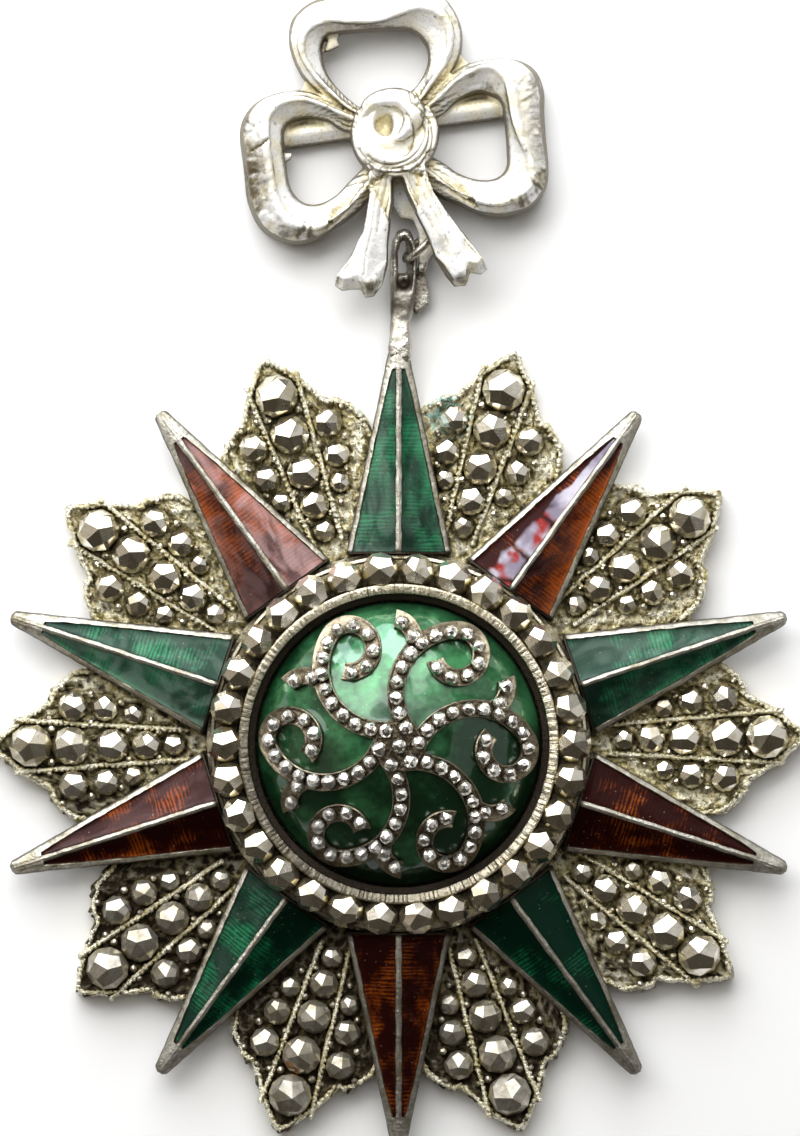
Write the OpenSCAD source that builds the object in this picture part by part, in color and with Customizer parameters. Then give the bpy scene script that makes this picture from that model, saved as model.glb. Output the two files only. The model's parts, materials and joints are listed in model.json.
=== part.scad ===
// Commander badge of an order, on a ribbon bow.
// Millimetres. The badge lies on its back: +Z is the front, +Y points to the bow,
// the origin is the centre of the star's flat back.

/* [Star] */
// Radius of the ray tips and of the lobe tips
star_r = 31; // [20:0.5:45]
// Rays, and as many lobes between them
rays = 10; // [6:1:14]
// Thickness of the lobed plate
plate_t = 1.5; // [0.8:0.1:3]
// Gap left between two pieces
gap = 0.05; // [0.02:0.01:0.2]

/* [Rays] */
// Half width of a ray where it leaves the boss
ray_half_in = 4; // [2:0.1:6]
// Half width of the blunt tip
ray_half_out = 0.5; // [0.2:0.05:1.5]
// Height of the ray's edge over the plate, at the boss
ray_edge_in = 1.2; // [0.5:0.1:3]
// Height of the ray's edge over the plate, at the tip
ray_edge_out = 0.75; // [0.3:0.05:3]
// Slope of the two sides that meet in the ridge, degrees
ray_slope = 24; // [5:1:40]
// Width of the silver border along the ray's edge
ray_border = 0.35; // [0.2:0.05:1]
// Half width of the silver ridge
ray_ridge = 0.18; // [0.1:0.02:0.6]
// Depth of an enamel cell
cell_deep = 0.6; // [0.2:0.05:1]
// How far the enamel stays below the silver
cell_low = 0.1; // [0:0.02:0.3]

/* [Boss] */
// Outer radius of the boss ring
boss_r = 14.3; // [8:0.1:20]
// Radius of the circle of studs
boss_stud_r = 13.1; // [7:0.1:19]
// Number of studs in the ring
boss_studs = 30; // [12:1:48]
// Diameter of a stud in the ring
boss_stud_d = 2.4; // [1:0.1:4]
// Height of the stud bed over the back
boss_bed_z = 4.1; // [3:0.1:8]
// Height of the milled inner rim over the back
boss_rim_z = 5; // [3:0.1:8]

/* [Medallion] */
// Radius of the medallion
dome_edge_r = 10.75; // [6:0.05:15]
// Radius of the dome's sphere, over the enamel
dome_r = 13.05; // [11:0.05:30]
// Height of the enamel's edge over the back
dome_edge_z = 3.95; // [3:0.05:8]
// Thickness of the enamel
enamel_t = 0.25; // [0.1:0.05:1]
// Arms of the beaded ornament
arms = 6; // [3:1:8]
// Width of an ornament strip
strip_w = 1.3; // [0.5:0.05:2]
// Height of a strip over the enamel
strip_t = 0.3; // [0.1:0.05:0.8]
// Diameter of a bead
bead_d = 1.1; // [0.4:0.05:1.5]

/* [Bow] */
// Centre of the knot, sideways
knot_x = -0.27; // [-5:0.01:5]
// Centre of the knot, over the star's centre
knot_y = 46.05; // [40:0.05:60]
// Turn of the bow, degrees to the left
bow_turn = 8; // [-20:1:20]
// Height of the loops' back over the table
bow_back_z = 1; // [0.5:0.1:3]
// Height of the loops' ridge over the table
loop_z = 4.1; // [2:0.1:8]
// Diameter of the ribbon bar behind the bow
bar_d = 1.9; // [0.6:0.1:3]
// Height of the ribbon bar over the knot's centre
bar_y = 1.35; // [0:0.05:3]
// Height of the tails' underside over the table
tail_z = 3.65; // [2:0.05:5]

/* [Jump ring] */
// Middle radius of the jump ring
ring_r = 1.5; // [1:0.05:4]
// Thickness of its wire
ring_wire = 0.6; // [0.4:0.05:1.5]

/* [Hidden] */
pitch = 360 / rays;
star_z = plate_t + gap;
seat_z = star_z + 0.75;
base_z = seat_z + gap;
dome_z = dome_edge_z - sqrt(dome_r * dome_r - dome_edge_r * dome_edge_r);
ray_in = boss_r + gap;
ray_tan = tan(ray_slope);

// name of each enamel cell, counted clockwise from the top ray
SIDES = ["left", "right"];
function cell_name(i, side) = str("ray_enamel_", i < 9 ? "0" : "", i + 1, "_", SIDES[side]);
CELLS = [for (i = [0 : rays - 1]) for (side = [0, 1]) cell_name(i, side)];

// half of a lobe's outline: [degrees off its axis, radius]
LOBE = [
    [0, 31.2], [1, 30.8], [2.4, 29.9], [3.4, 29.4], [5.4, 28.1],
    [7.2, 26.9], [8.6, 27.0], [10.6, 26.4], [12.7, 25.6], [14.6, 23.5]
];
// how far each lobe is out of its place, clockwise, as the hand-made plate has them
LOBE_TURN = [-1.4, -1.8, -0.9, -0.8, 0.4, -0.8, -1.7, -0.5, -0.8, -1.4];
// studs of a lobe: [sideways, radius, diameter, sides]
STUDS = [
    [0, 28.0, 2.9, 8], [0, 24.9, 2.6, 8], [0, 21.8, 2.3, 8], [0, 19.2, 2.0, 8],
    [0, 17.1, 1.5, 6], [3.0, 24.8, 2.0, 8], [-3.0, 24.8, 2.0, 8],
    [2.8, 22.3, 1.8, 6], [-2.8, 22.3, 1.8, 6], [2.35, 20.2, 1.4, 6], [-2.35, 20.2, 1.4, 6]
];

// ribbon loops of the bow, upright: [hole x, hole y, ridge x, ridge y, edge x, edge y]
LEFT_LOOP = [
    [-1.5, 0.3, -1.5, 1.1, -1.5, 2.0], [-3.9, 1.0, -3.3, 2.0, -3.0, 2.5],
    [-4.9, 1.9, -5.0, 3.05, -4.8, 3.7], [-6.4, 2.35, -6.6, 3.8, -6.5, 4.5],
    [-7.7, 2.2, -8.2, 3.7, -8.4, 4.6], [-8.3, 1.6, -9.3, 2.9, -10.3, 4.0],
    [-8.45, 0.6, -9.65, 1.2, -11.6, 2.3], [-8.5, -1.0, -9.7, -1.0, -11.75, -0.8],
    [-8.45, -2.4, -9.65, -3.0, -11.8, -3.4], [-8.1, -3.4, -9.2, -4.7, -11.1, -5.5],
    [-7.4, -4.05, -8.1, -5.8, -9.6, -6.7], [-6.4, -4.2, -6.7, -6.1, -7.6, -7.05],
    [-5.1, -3.75, -5.2, -5.45, -5.4, -6.2], [-3.9, -2.8, -3.6, -4.3, -3.3, -5.0],
    [-1.8, -1.2, -1.6, -2.4, -1.4, -3.2]
];
TOP_LOOP = [
    [0.4, 1.4, 1.2, 1.4, 1.8, 1.2], [1.3, 3.0, 2.6, 2.9, 3.2, 2.6],
    [2.1, 3.6, 3.5, 3.9, 4.3, 3.6], [2.8, 4.4, 4.5, 5.0, 5.4, 4.7],
    [3.25, 5.3, 5.1, 6.3, 6.05, 6.2], [3.35, 6.2, 5.25, 7.7, 6.1, 8.0],
    [3.0, 7.1, 4.6, 9.0, 5.3, 9.9], [2.3, 7.8, 3.1, 9.45, 3.9, 11.0],
    [1.2, 8.05, 1.4, 9.05, 1.9, 11.5], [-0.3, 8.2, -0.3, 8.75, -0.2, 11.4],
    [-1.8, 8.3, -2.2, 9.0, -2.6, 11.4], [-3.0, 8.35, -3.9, 9.35, -4.9, 11.1],
    [-4.0, 8.3, -5.3, 9.0, -6.5, 10.0], [-4.5, 7.7, -6.1, 8.0, -7.0, 8.3],
    [-4.6, 6.6, -6.0, 6.7, -6.75, 6.5], [-4.35, 5.3, -5.35, 5.4, -6.1, 5.0],
    [-3.6, 4.05, -4.4, 4.1, -5.0, 3.7], [-2.5, 2.8, -3.1, 2.6, -3.6, 2.3],
    [-0.6, 1.4, -1.0, 1.3, -1.6, 1.0]
];
RIGHT_LOOP = [
    [1.4, -1.0, 1.2, -2.2, 1.0, -3.0], [3.3, -2.35, 2.9, -3.7, 2.5, -4.8],
    [4.3, -3.3, 4.2, -4.9, 4.1, -5.8], [5.5, -3.95, 5.6, -5.8, 5.7, -6.75],
    [6.7, -4.2, 7.2, -6.15, 7.6, -7.15], [7.6, -3.95, 8.8, -5.8, 9.5, -6.75],
    [8.1, -3.3, 9.8, -4.7, 10.8, -5.5], [8.25, -2.3, 9.9, -3.2, 11.25, -3.8],
    [8.35, -1.0, 9.3, -1.4, 11.35, -1.8], [8.4, 0.2, 9.0, 0.2, 11.5, 0.2],
    [8.4, 1.2, 8.95, 1.8, 11.7, 2.0], [8.0, 1.9, 8.8, 3.3, 11.2, 3.7],
    [7.0, 2.4, 7.8, 4.3, 9.6, 4.7], [5.8, 2.3, 6.3, 4.1, 7.0, 4.9],
    [4.7, 1.8, 4.9, 3.4, 4.9, 4.2], [3.9, 1.2, 3.6, 2.5, 3.4, 3.1],
    [1.4, 0.2, 1.5, 1.0, 1.6, 1.8]
];
// the two tails, upright: outline of the swallow-tailed end
LEFT_TAIL = [
    [-2.3, -2.4], [-2.5, -4.6], [-3.3, -6.9], [-4.7, -8.6], [-6.15, -10.6], [-5.6, -11.1],
    [-4.2, -11.0], [-3.9, -11.8], [-3.3, -11.85], [-2.5, -11.0], [-1.9, -9.6],
    [-1.65, -8.0], [-1.25, -6.5], [-0.8, -5.0], [-0.5, -2.4]
];
RIGHT_TAIL = [
    [-0.1, -2.4], [0.15, -4.4], [0.75, -6.3], [1.35, -8.0], [1.7, -9.7], [2.3, -11.1],
    [2.85, -12.0], [3.65, -11.9], [4.1, -11.05], [5.0, -11.35], [5.5, -11.0],
    [5.2, -10.0], [4.1, -8.0], [3.0, -6.2], [2.2, -4.7], [1.8, -2.4]
];
// tongue behind the right tail, upright: strap with the ring's hole, then its pointed end
STRAP = [
    [-1.2, -2.6], [-0.9, -5.1], [-0.45, -6.15], [0.45, -6.4], [0.75, -7.6], [0.5, -9.3],
    [0.35, -10.4], [0.85, -10.4], [1.3, -9.4], [2.6, -8.5], [3.0, -7.2], [2.3, -5.2], [1.8, -2.6]
];
TONGUE = [
    [0.35, -9.85], [0.8, -9.9], [0.98, -11.4], [0.98, -12.2], [0.75, -12.9],
    [-0.28, -13.6], [-0.55, -13.1], [-0.2, -11.2]
];
// bail over the top ray: outline and slot
BAIL = [
    [-1.0, 29.6], [-0.66, 31.4], [-0.62, 32.5], [-0.62, 37.0], [-0.5, 38.2], [-0.1, 38.95],
    [0.4, 39.15], [0.88, 38.95], [1.2, 38.3], [1.34, 37.3], [1.36, 35.5], [1.2, 33.5],
    [1.0, 32.3], [0.94, 31.2], [1.05, 29.6]
];
SLOT = [
    [-0.12, 34.6], [-0.12, 37.6], [0.06, 38.2], [0.4, 38.45], [0.8, 38.2], [1.05, 37.6],
    [1.07, 35.6], [0.88, 34.6], [0.4, 34.3]
];

// curves

function smooth(p, q, r, s, t) = 0.5 * (
    2 * q + (r - p) * t + (2 * p - 5 * q + 4 * r - s) * t * t + (3 * q - p - 3 * r + s) * t * t * t
);
// smooth line through the rows of a table, with n steps between two rows
function refine(rows, n) = concat(
    [for (i = [0 : len(rows) - 2]) for (k = [0 : n - 1]) smooth(
        rows[max(i - 1, 0)], rows[i], rows[i + 1], rows[min(i + 2, len(rows) - 1)], k / n
    )],
    [rows[len(rows) - 1]]
);
function unit(v) = v / norm(v);

// solid through a row of closed sections with the same number of points
module sweep(sections) {
    n = len(sections[0]);
    m = len(sections);
    points = [for (s = sections) for (p = s) p];
    sides = [for (i = [0 : m - 2]) for (k = [0 : n - 1]) each [
        [i * n + k, i * n + (k + 1) % n, (i + 1) * n + (k + 1) % n],
        [i * n + k, (i + 1) * n + (k + 1) % n, (i + 1) * n + k]
    ]];
    first = [[for (k = [n - 1 : -1 : 0]) k]];
    last = [[for (k = [0 : n - 1]) (m - 1) * n + k]];
    polyhedron(points, concat(first, sides, last));
}

// studs and beads

// cut stud: steep foot, girdle, slope up to a flat table
module stud(d, h, sides = 8) {
    hull() {
        cylinder(d1 = d * 0.86, d2 = d, h = h * 0.45, $fn = sides);
        translate([0, 0, h * 0.45]) cylinder(d1 = d, d2 = d * 0.52, h = h * 0.55, $fn = sides);
    }
}

// star

function lobe_outline() = [
    for (i = [0 : rays - 1])
        let (axis = 90 - lobe_at(i))
        each concat(
            [for (k = [len(LOBE) - 1 : -1 : 0]) polar(axis + LOBE[k][0], LOBE[k][1])],
            [for (k = [1 : len(LOBE) - 1]) polar(axis - LOBE[k][0], LOBE[k][1])]
        )
];
function polar(a, r) = [r * cos(a), r * sin(a)];
// direction of a lobe, clockwise from the top ray
function lobe_at(i) = (i + 0.5) * pitch + LOBE_TURN[i % len(LOBE_TURN)];

// plate with its ten lobes, each one studded and set off by two ridges
module star_plate() {
    color("silver") difference() {
        union() {
            linear_extrude(plate_t) polygon(lobe_outline());
            for (i = [0 : rays - 1]) rotate(-lobe_at(i)) {
                for (s = STUDS)
                    translate([s[0], s[1], plate_t - 0.1]) rotate(180 / s[3])
                        stud(s[2], 0.35 + s[2] * 0.5, s[3]);
                for (side = [-1, 1]) rotate(side * 3.9)
                    translate([-0.16, 16.5, plate_t - 0.1]) cube([0.32, 12.4, 0.5]);
            }
        }
        translate([0, 0, -1]) cylinder(r = 1.25, h = plate_t + 2, $fn = 24);
    }
}

// half width and surface height of a ray at a radius
function ray_half(r) =
    ray_half_in + (ray_half_out - ray_half_in) * (r - ray_in) / (star_r - ray_in);
function ray_edge(r) = plate_t + ray_edge_in
    + (ray_edge_out - ray_edge_in) * (r - ray_in) / (star_r - ray_in);
function ray_top(x, r) = ray_edge(r) + ray_tan * (ray_half(r) - abs(x));

module ray_body() {
    a = ray_half_in;
    b = ray_half_out;
    polyhedron(
        points = [
            [-a, ray_in, star_z], [a, ray_in, star_z], [b, star_r, star_z], [-b, star_r, star_z],
            [-a, ray_in, ray_edge(ray_in)], [0, ray_in, ray_top(0, ray_in)],
            [a, ray_in, ray_edge(ray_in)], [b, star_r, ray_edge(star_r)],
            [0, star_r, ray_top(0, star_r)], [-b, star_r, ray_edge(star_r)]
        ],
        faces = [
            [0, 1, 2, 3], [0, 4, 5, 6, 1], [1, 6, 7, 2], [2, 7, 8, 9, 3], [3, 9, 4, 0],
            [5, 4, 9, 8], [6, 5, 8, 7]
        ]
    );
}

// block that fills one enamel cell, from low to high measured off the ray's surface
module cell_block(side, inset, low, high) {
    r0 = ray_in + 0.15 + inset;
    r1 = star_r - (ray_ridge + ray_border + 0.35 - ray_half_out)
        * (star_r - ray_in) / (ray_half_in - ray_half_out) - inset * 3;
    x0 = ray_ridge + inset;
    corners = [
        [x0, r0], [ray_half(r0) - ray_border - inset, r0],
        [ray_half(r1) - ray_border - inset, r1], [x0, r1]
    ];
    mirror([side, 0, 0]) polyhedron(
        points = [for (h = [low, high]) for (c = corners) [c[0], c[1], ray_top(c[0], c[1]) + h]],
        faces = [[0, 1, 2, 3], [7, 6, 5, 4], [0, 4, 5, 1], [1, 5, 6, 2], [2, 6, 7, 3], [3, 7, 4, 0]]
    );
}

// silver star that holds the enamel, with the bail soldered to its top ray
module ray_star() {
    color("gainsboro") {
        difference() {
            union() {
                translate([0, 0, star_z]) cylinder(r = boss_r + 0.3, h = seat_z - star_z, $fn = 96);
                for (i = [0 : rays - 1]) rotate(-i * pitch) ray_body();
            }
            for (i = [0 : rays - 1]) rotate(-i * pitch) for (side = [0, 1])
                cell_block(side, 0, -cell_deep, 1);
            translate([0, 0, star_z - 1]) cylinder(r = 1.25, h = 3, $fn = 24);
        }
        translate([0, 0, 1.15]) linear_extrude(1.1) difference() {
            polygon([for (p = BAIL) if (p[1] > 31.3) p]);
            polygon(SLOT);
        }
        translate([0, 0, star_z]) linear_extrude(0.85) polygon([for (p = BAIL) if (p[1] < 34) p]);
    }
}

// one cell's enamel, a little below the silver all round it
module ray_enamel(i, side) {
    color(i % 2 == 0 ? "seagreen" : "firebrick") rotate(-i * pitch)
        cell_block(1 - side, gap, gap - cell_deep, -cell_low);
}

// boss

// ring with its stud bed and milled inner rim
module boss_ring() {
    color("silver") {
        rotate_extrude($fn = 60) polygon([
            [dome_edge_r + 0.15, base_z], [boss_r, base_z], [boss_r, boss_bed_z - 0.3],
            [boss_r - 0.3, boss_bed_z], [12.2, boss_bed_z], [12.1, boss_rim_z - 0.25],
            [11.8, boss_rim_z], [11.5, boss_rim_z - 0.2], [11.4, 4.2], [dome_edge_r + 0.15, 4.1]
        ]);
        for (i = [0 : boss_studs - 1]) rotate(i * 360 / boss_studs)
            translate([0, boss_stud_r, boss_bed_z - 0.2]) rotate(22.5) stud(boss_stud_d, 1.5);
    }
}

// silver dome under the enamel, with a blind hole for the post
module medallion() {
    inner_r = dome_r - enamel_t - gap;
    color("gainsboro") difference() {
        union() {
            translate([0, 0, base_z]) cylinder(r = dome_edge_r, h = 1.2, $fn = 120);
            intersection() {
                translate([0, 0, dome_z]) sphere(r = inner_r, $fn = 120);
                translate([0, 0, base_z + 0.5]) cylinder(r = dome_edge_r, h = 12, $fn = 120);
            }
        }
        translate([0, 0, base_z - 1]) cylinder(r = 1.25, h = 3.3, $fn = 24);
    }
}

// domed enamel over the medallion
module medallion_enamel() {
    color("seagreen") intersection() {
        difference() {
            translate([0, 0, dome_z]) sphere(r = dome_r, $fn = 120);
            translate([0, 0, dome_z]) sphere(r = dome_r - enamel_t, $fn = 120);
        }
        translate([0, 0, base_z + 1.2 + gap]) cylinder(r = dome_edge_r, h = 12, $fn = 120);
    }
}

// arcs of one arm of the ornament: [centre x, centre y, radius, from, to, beads]
ARCS = [
    [4.4, 3.9, 4.6, 222, 90, 9],
    [4.4, 6.75, 1.75, 90, -165, 6],
    [6.35, 4.3, 1.75, -70, 20, 2]
];

function on_dome(p, lift) =
    [p[0], p[1], dome_z + sqrt(pow(dome_r + lift, 2) - p[0] * p[0] - p[1] * p[1])];

// upright wall along one arc, to be cut to the dome
module arc_wall(a) {
    translate([a[0], a[1], base_z]) rotate(a[4]) rotate_extrude(angle = a[3] - a[4], $fn = 64)
        translate([a[2] - strip_w / 2, 0]) square([strip_w, 9]);
}

// beaded scrolls laid over the enamel, all of one piece with the rosette
module medallion_ornament() {
    color("white") {
        intersection() {
            difference() {
                translate([0, 0, dome_z]) sphere(r = dome_r + strip_t, $fn = 120);
                translate([0, 0, dome_z]) sphere(r = dome_r + gap, $fn = 120);
            }
            union() {
                translate([0, 0, base_z]) cylinder(r = 1.9, h = 9, $fn = 48);
                for (i = [0 : arms - 1]) rotate(-i * 360 / arms) for (a = ARCS) arc_wall(a);
            }
        }
        for (i = [0 : arms - 1]) rotate(-i * 360 / arms)
            for (a = ARCS) for (k = [0 : a[5] - 1])
                let (at = polar(a[3] + (a[4] - a[3]) * (k + 0.6) / a[5], a[2]))
                translate(on_dome([a[0], a[1]] + at, gap + bead_d / 2)) sphere(d = bead_d, $fn = 16);
        translate(on_dome([0, 0], gap + bead_d * 0.54)) sphere(d = bead_d * 1.08, $fn = 16);
    }
}

// plain rivet through plate, star and medallion
module centre_post() {
    color("gray") cylinder(r = 1.2, h = base_z + 2.2, $fn = 24);
}

// bow

// ribbon bent to a loop: sloping inwards to the hole and outwards to the wall
module loop(rows) {
    line = refine(rows, 3);
    n = len(line) - 1;
    sweep([for (i = [0 : n])
        let (q = line[i], crest = loop_z - 0.7 * pow(1 - sin(180 * i / n), 1.5))
        [
            [q[4], q[5], bow_back_z], [q[4], q[5], crest - 0.8], [q[2], q[3], crest],
            [q[0], q[1], crest - 0.9], [q[0], q[1], bow_back_z]
        ]
    ]);
}

// one tail: an outline cut out of a long roof that falls to both sides of the fold
module tail(outline, from, to, z) {
    d = unit(to - from);
    s = [-d[1], d[0]] * 6;
    a = from - d * 2;
    b = to + d * 3;
    intersection() {
        translate([0, 0, z]) linear_extrude(3) polygon(outline);
        hull() for (p = [a, b]) {
            translate([p[0], p[1], z + 0.1]) cylinder(r = 0.1, h = 1.45, $fn = 6);
            for (side = [-1, 1])
                translate([p[0] + side * s[0], p[1] + side * s[1], z - 2.5])
                    cylinder(r = 0.1, h = 1, $fn = 6);
        }
    }
}

// row of cones hulled two by two along a line of [x, y, radius, height]
module band(rows) {
    for (i = [0 : len(rows) - 2]) hull() for (q = [rows[i], rows[i + 1]])
        translate([q[0], q[1], bow_back_z + 3.4]) cylinder(r1 = q[2], r2 = q[2] * 0.45, h = q[3], $fn = 8);
}

// knot: a round pad, two bands that wrap it and the hollow between them
module knot() {
    difference() {
        union() {
            hull() {
                translate([-0.2, 0, bow_back_z]) cylinder(r = 3.2, h = 3, $fn = 28);
                translate([-0.2, 0, bow_back_z + 3]) cylinder(r1 = 3.2, r2 = 2.2, h = 1, $fn = 28);
            }
            band([[-2.3, 1.5, 0.7, 1.1], [-2.5, 0, 0.8, 1.3], [-1.9, -1.4, 0.95, 1.5],
                [-0.5, -2.1, 1.0, 1.6], [1.1, -1.8, 0.95, 1.5], [2.2, -0.7, 0.8, 1.3],
                [2.6, 0.7, 0.6, 1.1]]);
            band([[-2.1, 2.1, 0.6, 1.1], [-0.6, 2.5, 0.7, 1.3], [0.8, 2.1, 0.9, 1.5],
                [1.2, 1.0, 0.9, 1.6], [0.7, -0.2, 0.7, 1.5]]);
        }
        translate([-0.75, 0.9, bow_back_z + 4.6]) sphere(r = 1.15, $fn = 14);
    }
}

// cast bow with the bar soldered behind it
module bow() {
    color("whitesmoke") translate([knot_x, knot_y, 0]) rotate(bow_turn) {
        loop(LEFT_LOOP);
        loop(TOP_LOOP);
        loop(RIGHT_LOOP);
        knot();
        tail(LEFT_TAIL, [-1.3, -2.6], [-3.4, -9.5], tail_z - 0.35);
        tail(RIGHT_TAIL, [0.9, -2.6], [3.2, -9.5], tail_z);
        difference() {
            translate([0, 0, 1.25]) linear_extrude(0.7) polygon(STRAP);
            translate([1.98, -7.45, 0]) cylinder(r = 0.62, h = 3, $fn = 16);
        }
        translate([0, 0, 0.2]) linear_extrude(0.85) polygon(TONGUE);
        translate([0, 0, 0.2]) linear_extrude(1.75)
            polygon([[0.35, -9.85], [0.8, -9.9], [0.85, -10.35], [0.35, -10.35]]);
        translate([-9.9, bar_y, bar_d / 2]) rotate([0, 90, 0]) cylinder(d = bar_d, h = 19.6, $fn = 16);
    }
}

// wire ring through the bail's slot and the tongue's hole
module jump_ring() {
    color("lightgray") translate([1.63, 37.87, 1.8]) rotate([0, 0, 45]) rotate([90 + 12, 0, 0])
        rotate_extrude($fn = 48) translate([ring_r, 0]) circle(d = ring_wire, $fn = 20);
}

// nodes

star_plate();
ray_star();
for (i = [0 : rays - 1]) for (side = [0, 1])
    ray_enamel(i, side);
boss_ring();
medallion();
medallion_enamel();
medallion_ornament();
centre_post();
bow();
jump_ring();
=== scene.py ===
"""Looks of a commander badge: a star of enamelled rays over a studded plate, on a ribbon bow.

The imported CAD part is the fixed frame. Each operator makes one piece, or a group of like pieces, in it.
Lengths in the tables and in the mesh code are millimetres. Everything that reaches Blender is in metres.
"""

import json
import math

import bmesh
import bpy
import numpy as np
from bpy.props import FloatProperty, FloatVectorProperty, IntProperty, PointerProperty
from bpy.types import Operator, Panel, PropertyGroup
from mathutils import Matrix, Vector, noise

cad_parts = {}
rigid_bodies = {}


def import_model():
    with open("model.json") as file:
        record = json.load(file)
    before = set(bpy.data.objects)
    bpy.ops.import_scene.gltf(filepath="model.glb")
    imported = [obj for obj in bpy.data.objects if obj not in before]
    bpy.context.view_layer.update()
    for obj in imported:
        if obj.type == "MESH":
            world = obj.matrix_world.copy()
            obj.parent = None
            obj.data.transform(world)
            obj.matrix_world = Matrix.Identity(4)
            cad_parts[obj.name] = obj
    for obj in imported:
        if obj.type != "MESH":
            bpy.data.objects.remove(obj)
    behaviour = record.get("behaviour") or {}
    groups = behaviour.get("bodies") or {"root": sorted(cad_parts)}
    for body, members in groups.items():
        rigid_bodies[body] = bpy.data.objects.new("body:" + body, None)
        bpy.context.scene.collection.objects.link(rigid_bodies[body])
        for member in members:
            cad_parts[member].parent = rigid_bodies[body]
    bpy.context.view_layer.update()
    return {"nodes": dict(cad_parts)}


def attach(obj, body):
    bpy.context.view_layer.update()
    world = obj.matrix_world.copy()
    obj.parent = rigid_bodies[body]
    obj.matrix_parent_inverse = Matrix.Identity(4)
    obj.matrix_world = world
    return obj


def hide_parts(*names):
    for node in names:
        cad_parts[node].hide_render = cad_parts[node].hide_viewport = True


bl_info = {
    "name": "Commander badge",
    "version": (1, 0, 0),
    "blender": (4, 5, 0),
    "location": "3D View > Sidebar > Badge",
    "description": "Dresses the frame of a commander badge in silver and enamel",
    "category": "Add Mesh",
}

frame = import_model()

MM = 0.001

# node types and settings that the trees use again and again
MATH, VECTOR, COMBINE = "ShaderNodeMath", "ShaderNodeVectorMath", "ShaderNodeCombineXYZ"
MIX, RANGE, NOISE = "ShaderNodeMix", "ShaderNodeMapRange", "ShaderNodeTexNoise"
PRINCIPLED, BUMP = "ShaderNodeBsdfPrincipled", "ShaderNodeBump"
SMOOTH = {"interpolation_type": "SMOOTHSTEP"}


def srgb(code):
    """Linear RGBA of an sRGB hex colour."""
    parts = [int(code[i:i + 2], 16) / 255 for i in (1, 3, 5)]
    return tuple(c / 12.92 if c <= 0.04045 else ((c + 0.055) / 1.055) ** 2.4 for c in parts) + (1.0,)


def length(name, about, value):
    """Property for a size given in millimetres."""
    return FloatProperty(
        name=name, description=about, default=value * MM, min=0, unit="LENGTH", precision=5
    )


def colour(name, about, code):
    """Property for a colour given as sRGB hex."""
    return FloatVectorProperty(
        name=name, description=about, default=srgb(code), size=4, min=0, max=1, subtype="COLOR"
    )


class BadgeSizes(PropertyGroup):
    """Sizes that shape the pieces."""

    ray_border: length("Ray border", "Width of the silver border along a ray", 0.46)
    ray_ridge: length("Ray ridge", "Half width of the silver ridge of a ray", 0.23)
    cell_low: length("Enamel drop", "How far the enamel stays below the silver", 0.1)
    stud_tilt: FloatProperty(
        name="Stud tilt", description="Most that a hand-cut stud leans", default=math.radians(5),
        unit="ROTATION",
    )
    rope_pitch: length("Rope pitch", "Distance between two strands of the rope edge", 0.42)
    boss_studs: IntProperty(name="Boss studs", description="Studs in the boss ring", default=30, min=3)
    rim_cuts: IntProperty(name="Rim cuts", description="Cuts in the milled rim", default=220, min=12)
    bow_voxel: length("Bow detail", "Size of the finest form on the cast bow", 0.125)
    seed: IntProperty(name="Seed", description="Fixes every random draw", default=7)


class BadgeColours(PropertyGroup):
    """Colours of the metals and enamels."""

    green_deep: colour("Green, deep", "Green enamel of the rays where it is thick", "#022418")
    green_light: colour("Green, light", "Green enamel of the rays over bright silver", "#1F7A50")
    red_deep: colour("Red, deep", "Red enamel where it is thick", "#240502")
    red_light: colour("Red, light", "Red enamel over bright silver", "#9E4A0E")
    dome_deep: colour("Dome, deep", "Green enamel of the dome where it is thick", "#0A3A1D")
    dome_light: colour("Dome, light", "Green enamel of the dome where it is thin", "#4E9A62")


# shape of the star, as the frame has it
STAR_R = 31.0
RAYS = 10
PITCH = 360 / RAYS
PLATE_T = 1.5
GAP = 0.05
HALF_IN, HALF_OUT = 4.0, 0.5
EDGE_IN, EDGE_OUT = 1.2, 0.75
SLOPE = math.tan(math.radians(24))
CELL_DEEP = 0.6
BOSS_R = 14.3
BED_Z, RIM_Z = 4.1, 5.0
DOME_EDGE_R, DOME_R, DOME_EDGE_Z = 10.75, 13.05, 3.95
ENAMEL_T = 0.25
STAR_Z = PLATE_T + GAP
SEAT_Z = STAR_Z + 0.75
BASE_Z = SEAT_Z + GAP
DOME_Z = DOME_EDGE_Z - math.sqrt(DOME_R ** 2 - DOME_EDGE_R ** 2)
RAY_IN = BOSS_R + GAP
POST_R = 1.25
# radius of the disc under the boss that joins the rays
FLANGE_R = 14.6
# where a ray begins to round off into its tip, and over what length
TIP_FROM, TIP_LONG = 30.66, 0.36
# the plate's rough skin runs from under the boss out to its edge, which stays inside the frame's box
FLAT_R, EDGE_MOST = 13.0, 31.15

# half of a lobe's outline: degrees off its axis, radius
LOBE = [
    (0, 31.2), (1, 30.8), (2.4, 29.9), (3.4, 29.4), (5.4, 28.1),
    (7.2, 26.9), (8.6, 27.0), (10.6, 26.4), (12.7, 25.6), (14.6, 23.5), (18, 23.4),
]
# how far each lobe is out of its place, clockwise in degrees
LOBE_TURN = [-1.4, -1.8, -0.9, -0.8, 0.4, -0.8, -1.7, -0.5, -0.8, -1.4]
# studs of a lobe: sideways, radius, diameter
STUDS = [
    (0, 28.0, 2.9), (0, 24.9, 2.6), (0, 21.8, 2.3), (0, 19.2, 2.0), (0, 17.1, 1.5),
    (3.0, 24.8, 2.0), (-3.0, 24.8, 2.0), (2.8, 22.3, 1.8), (-2.8, 22.3, 1.8),
    (2.35, 20.2, 1.4), (-2.35, 20.2, 1.4),
]
# the cut studs stand a little wider than their feet in the frame
STUD_GROW = 1.14
STUD_CUTS = 4
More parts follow.
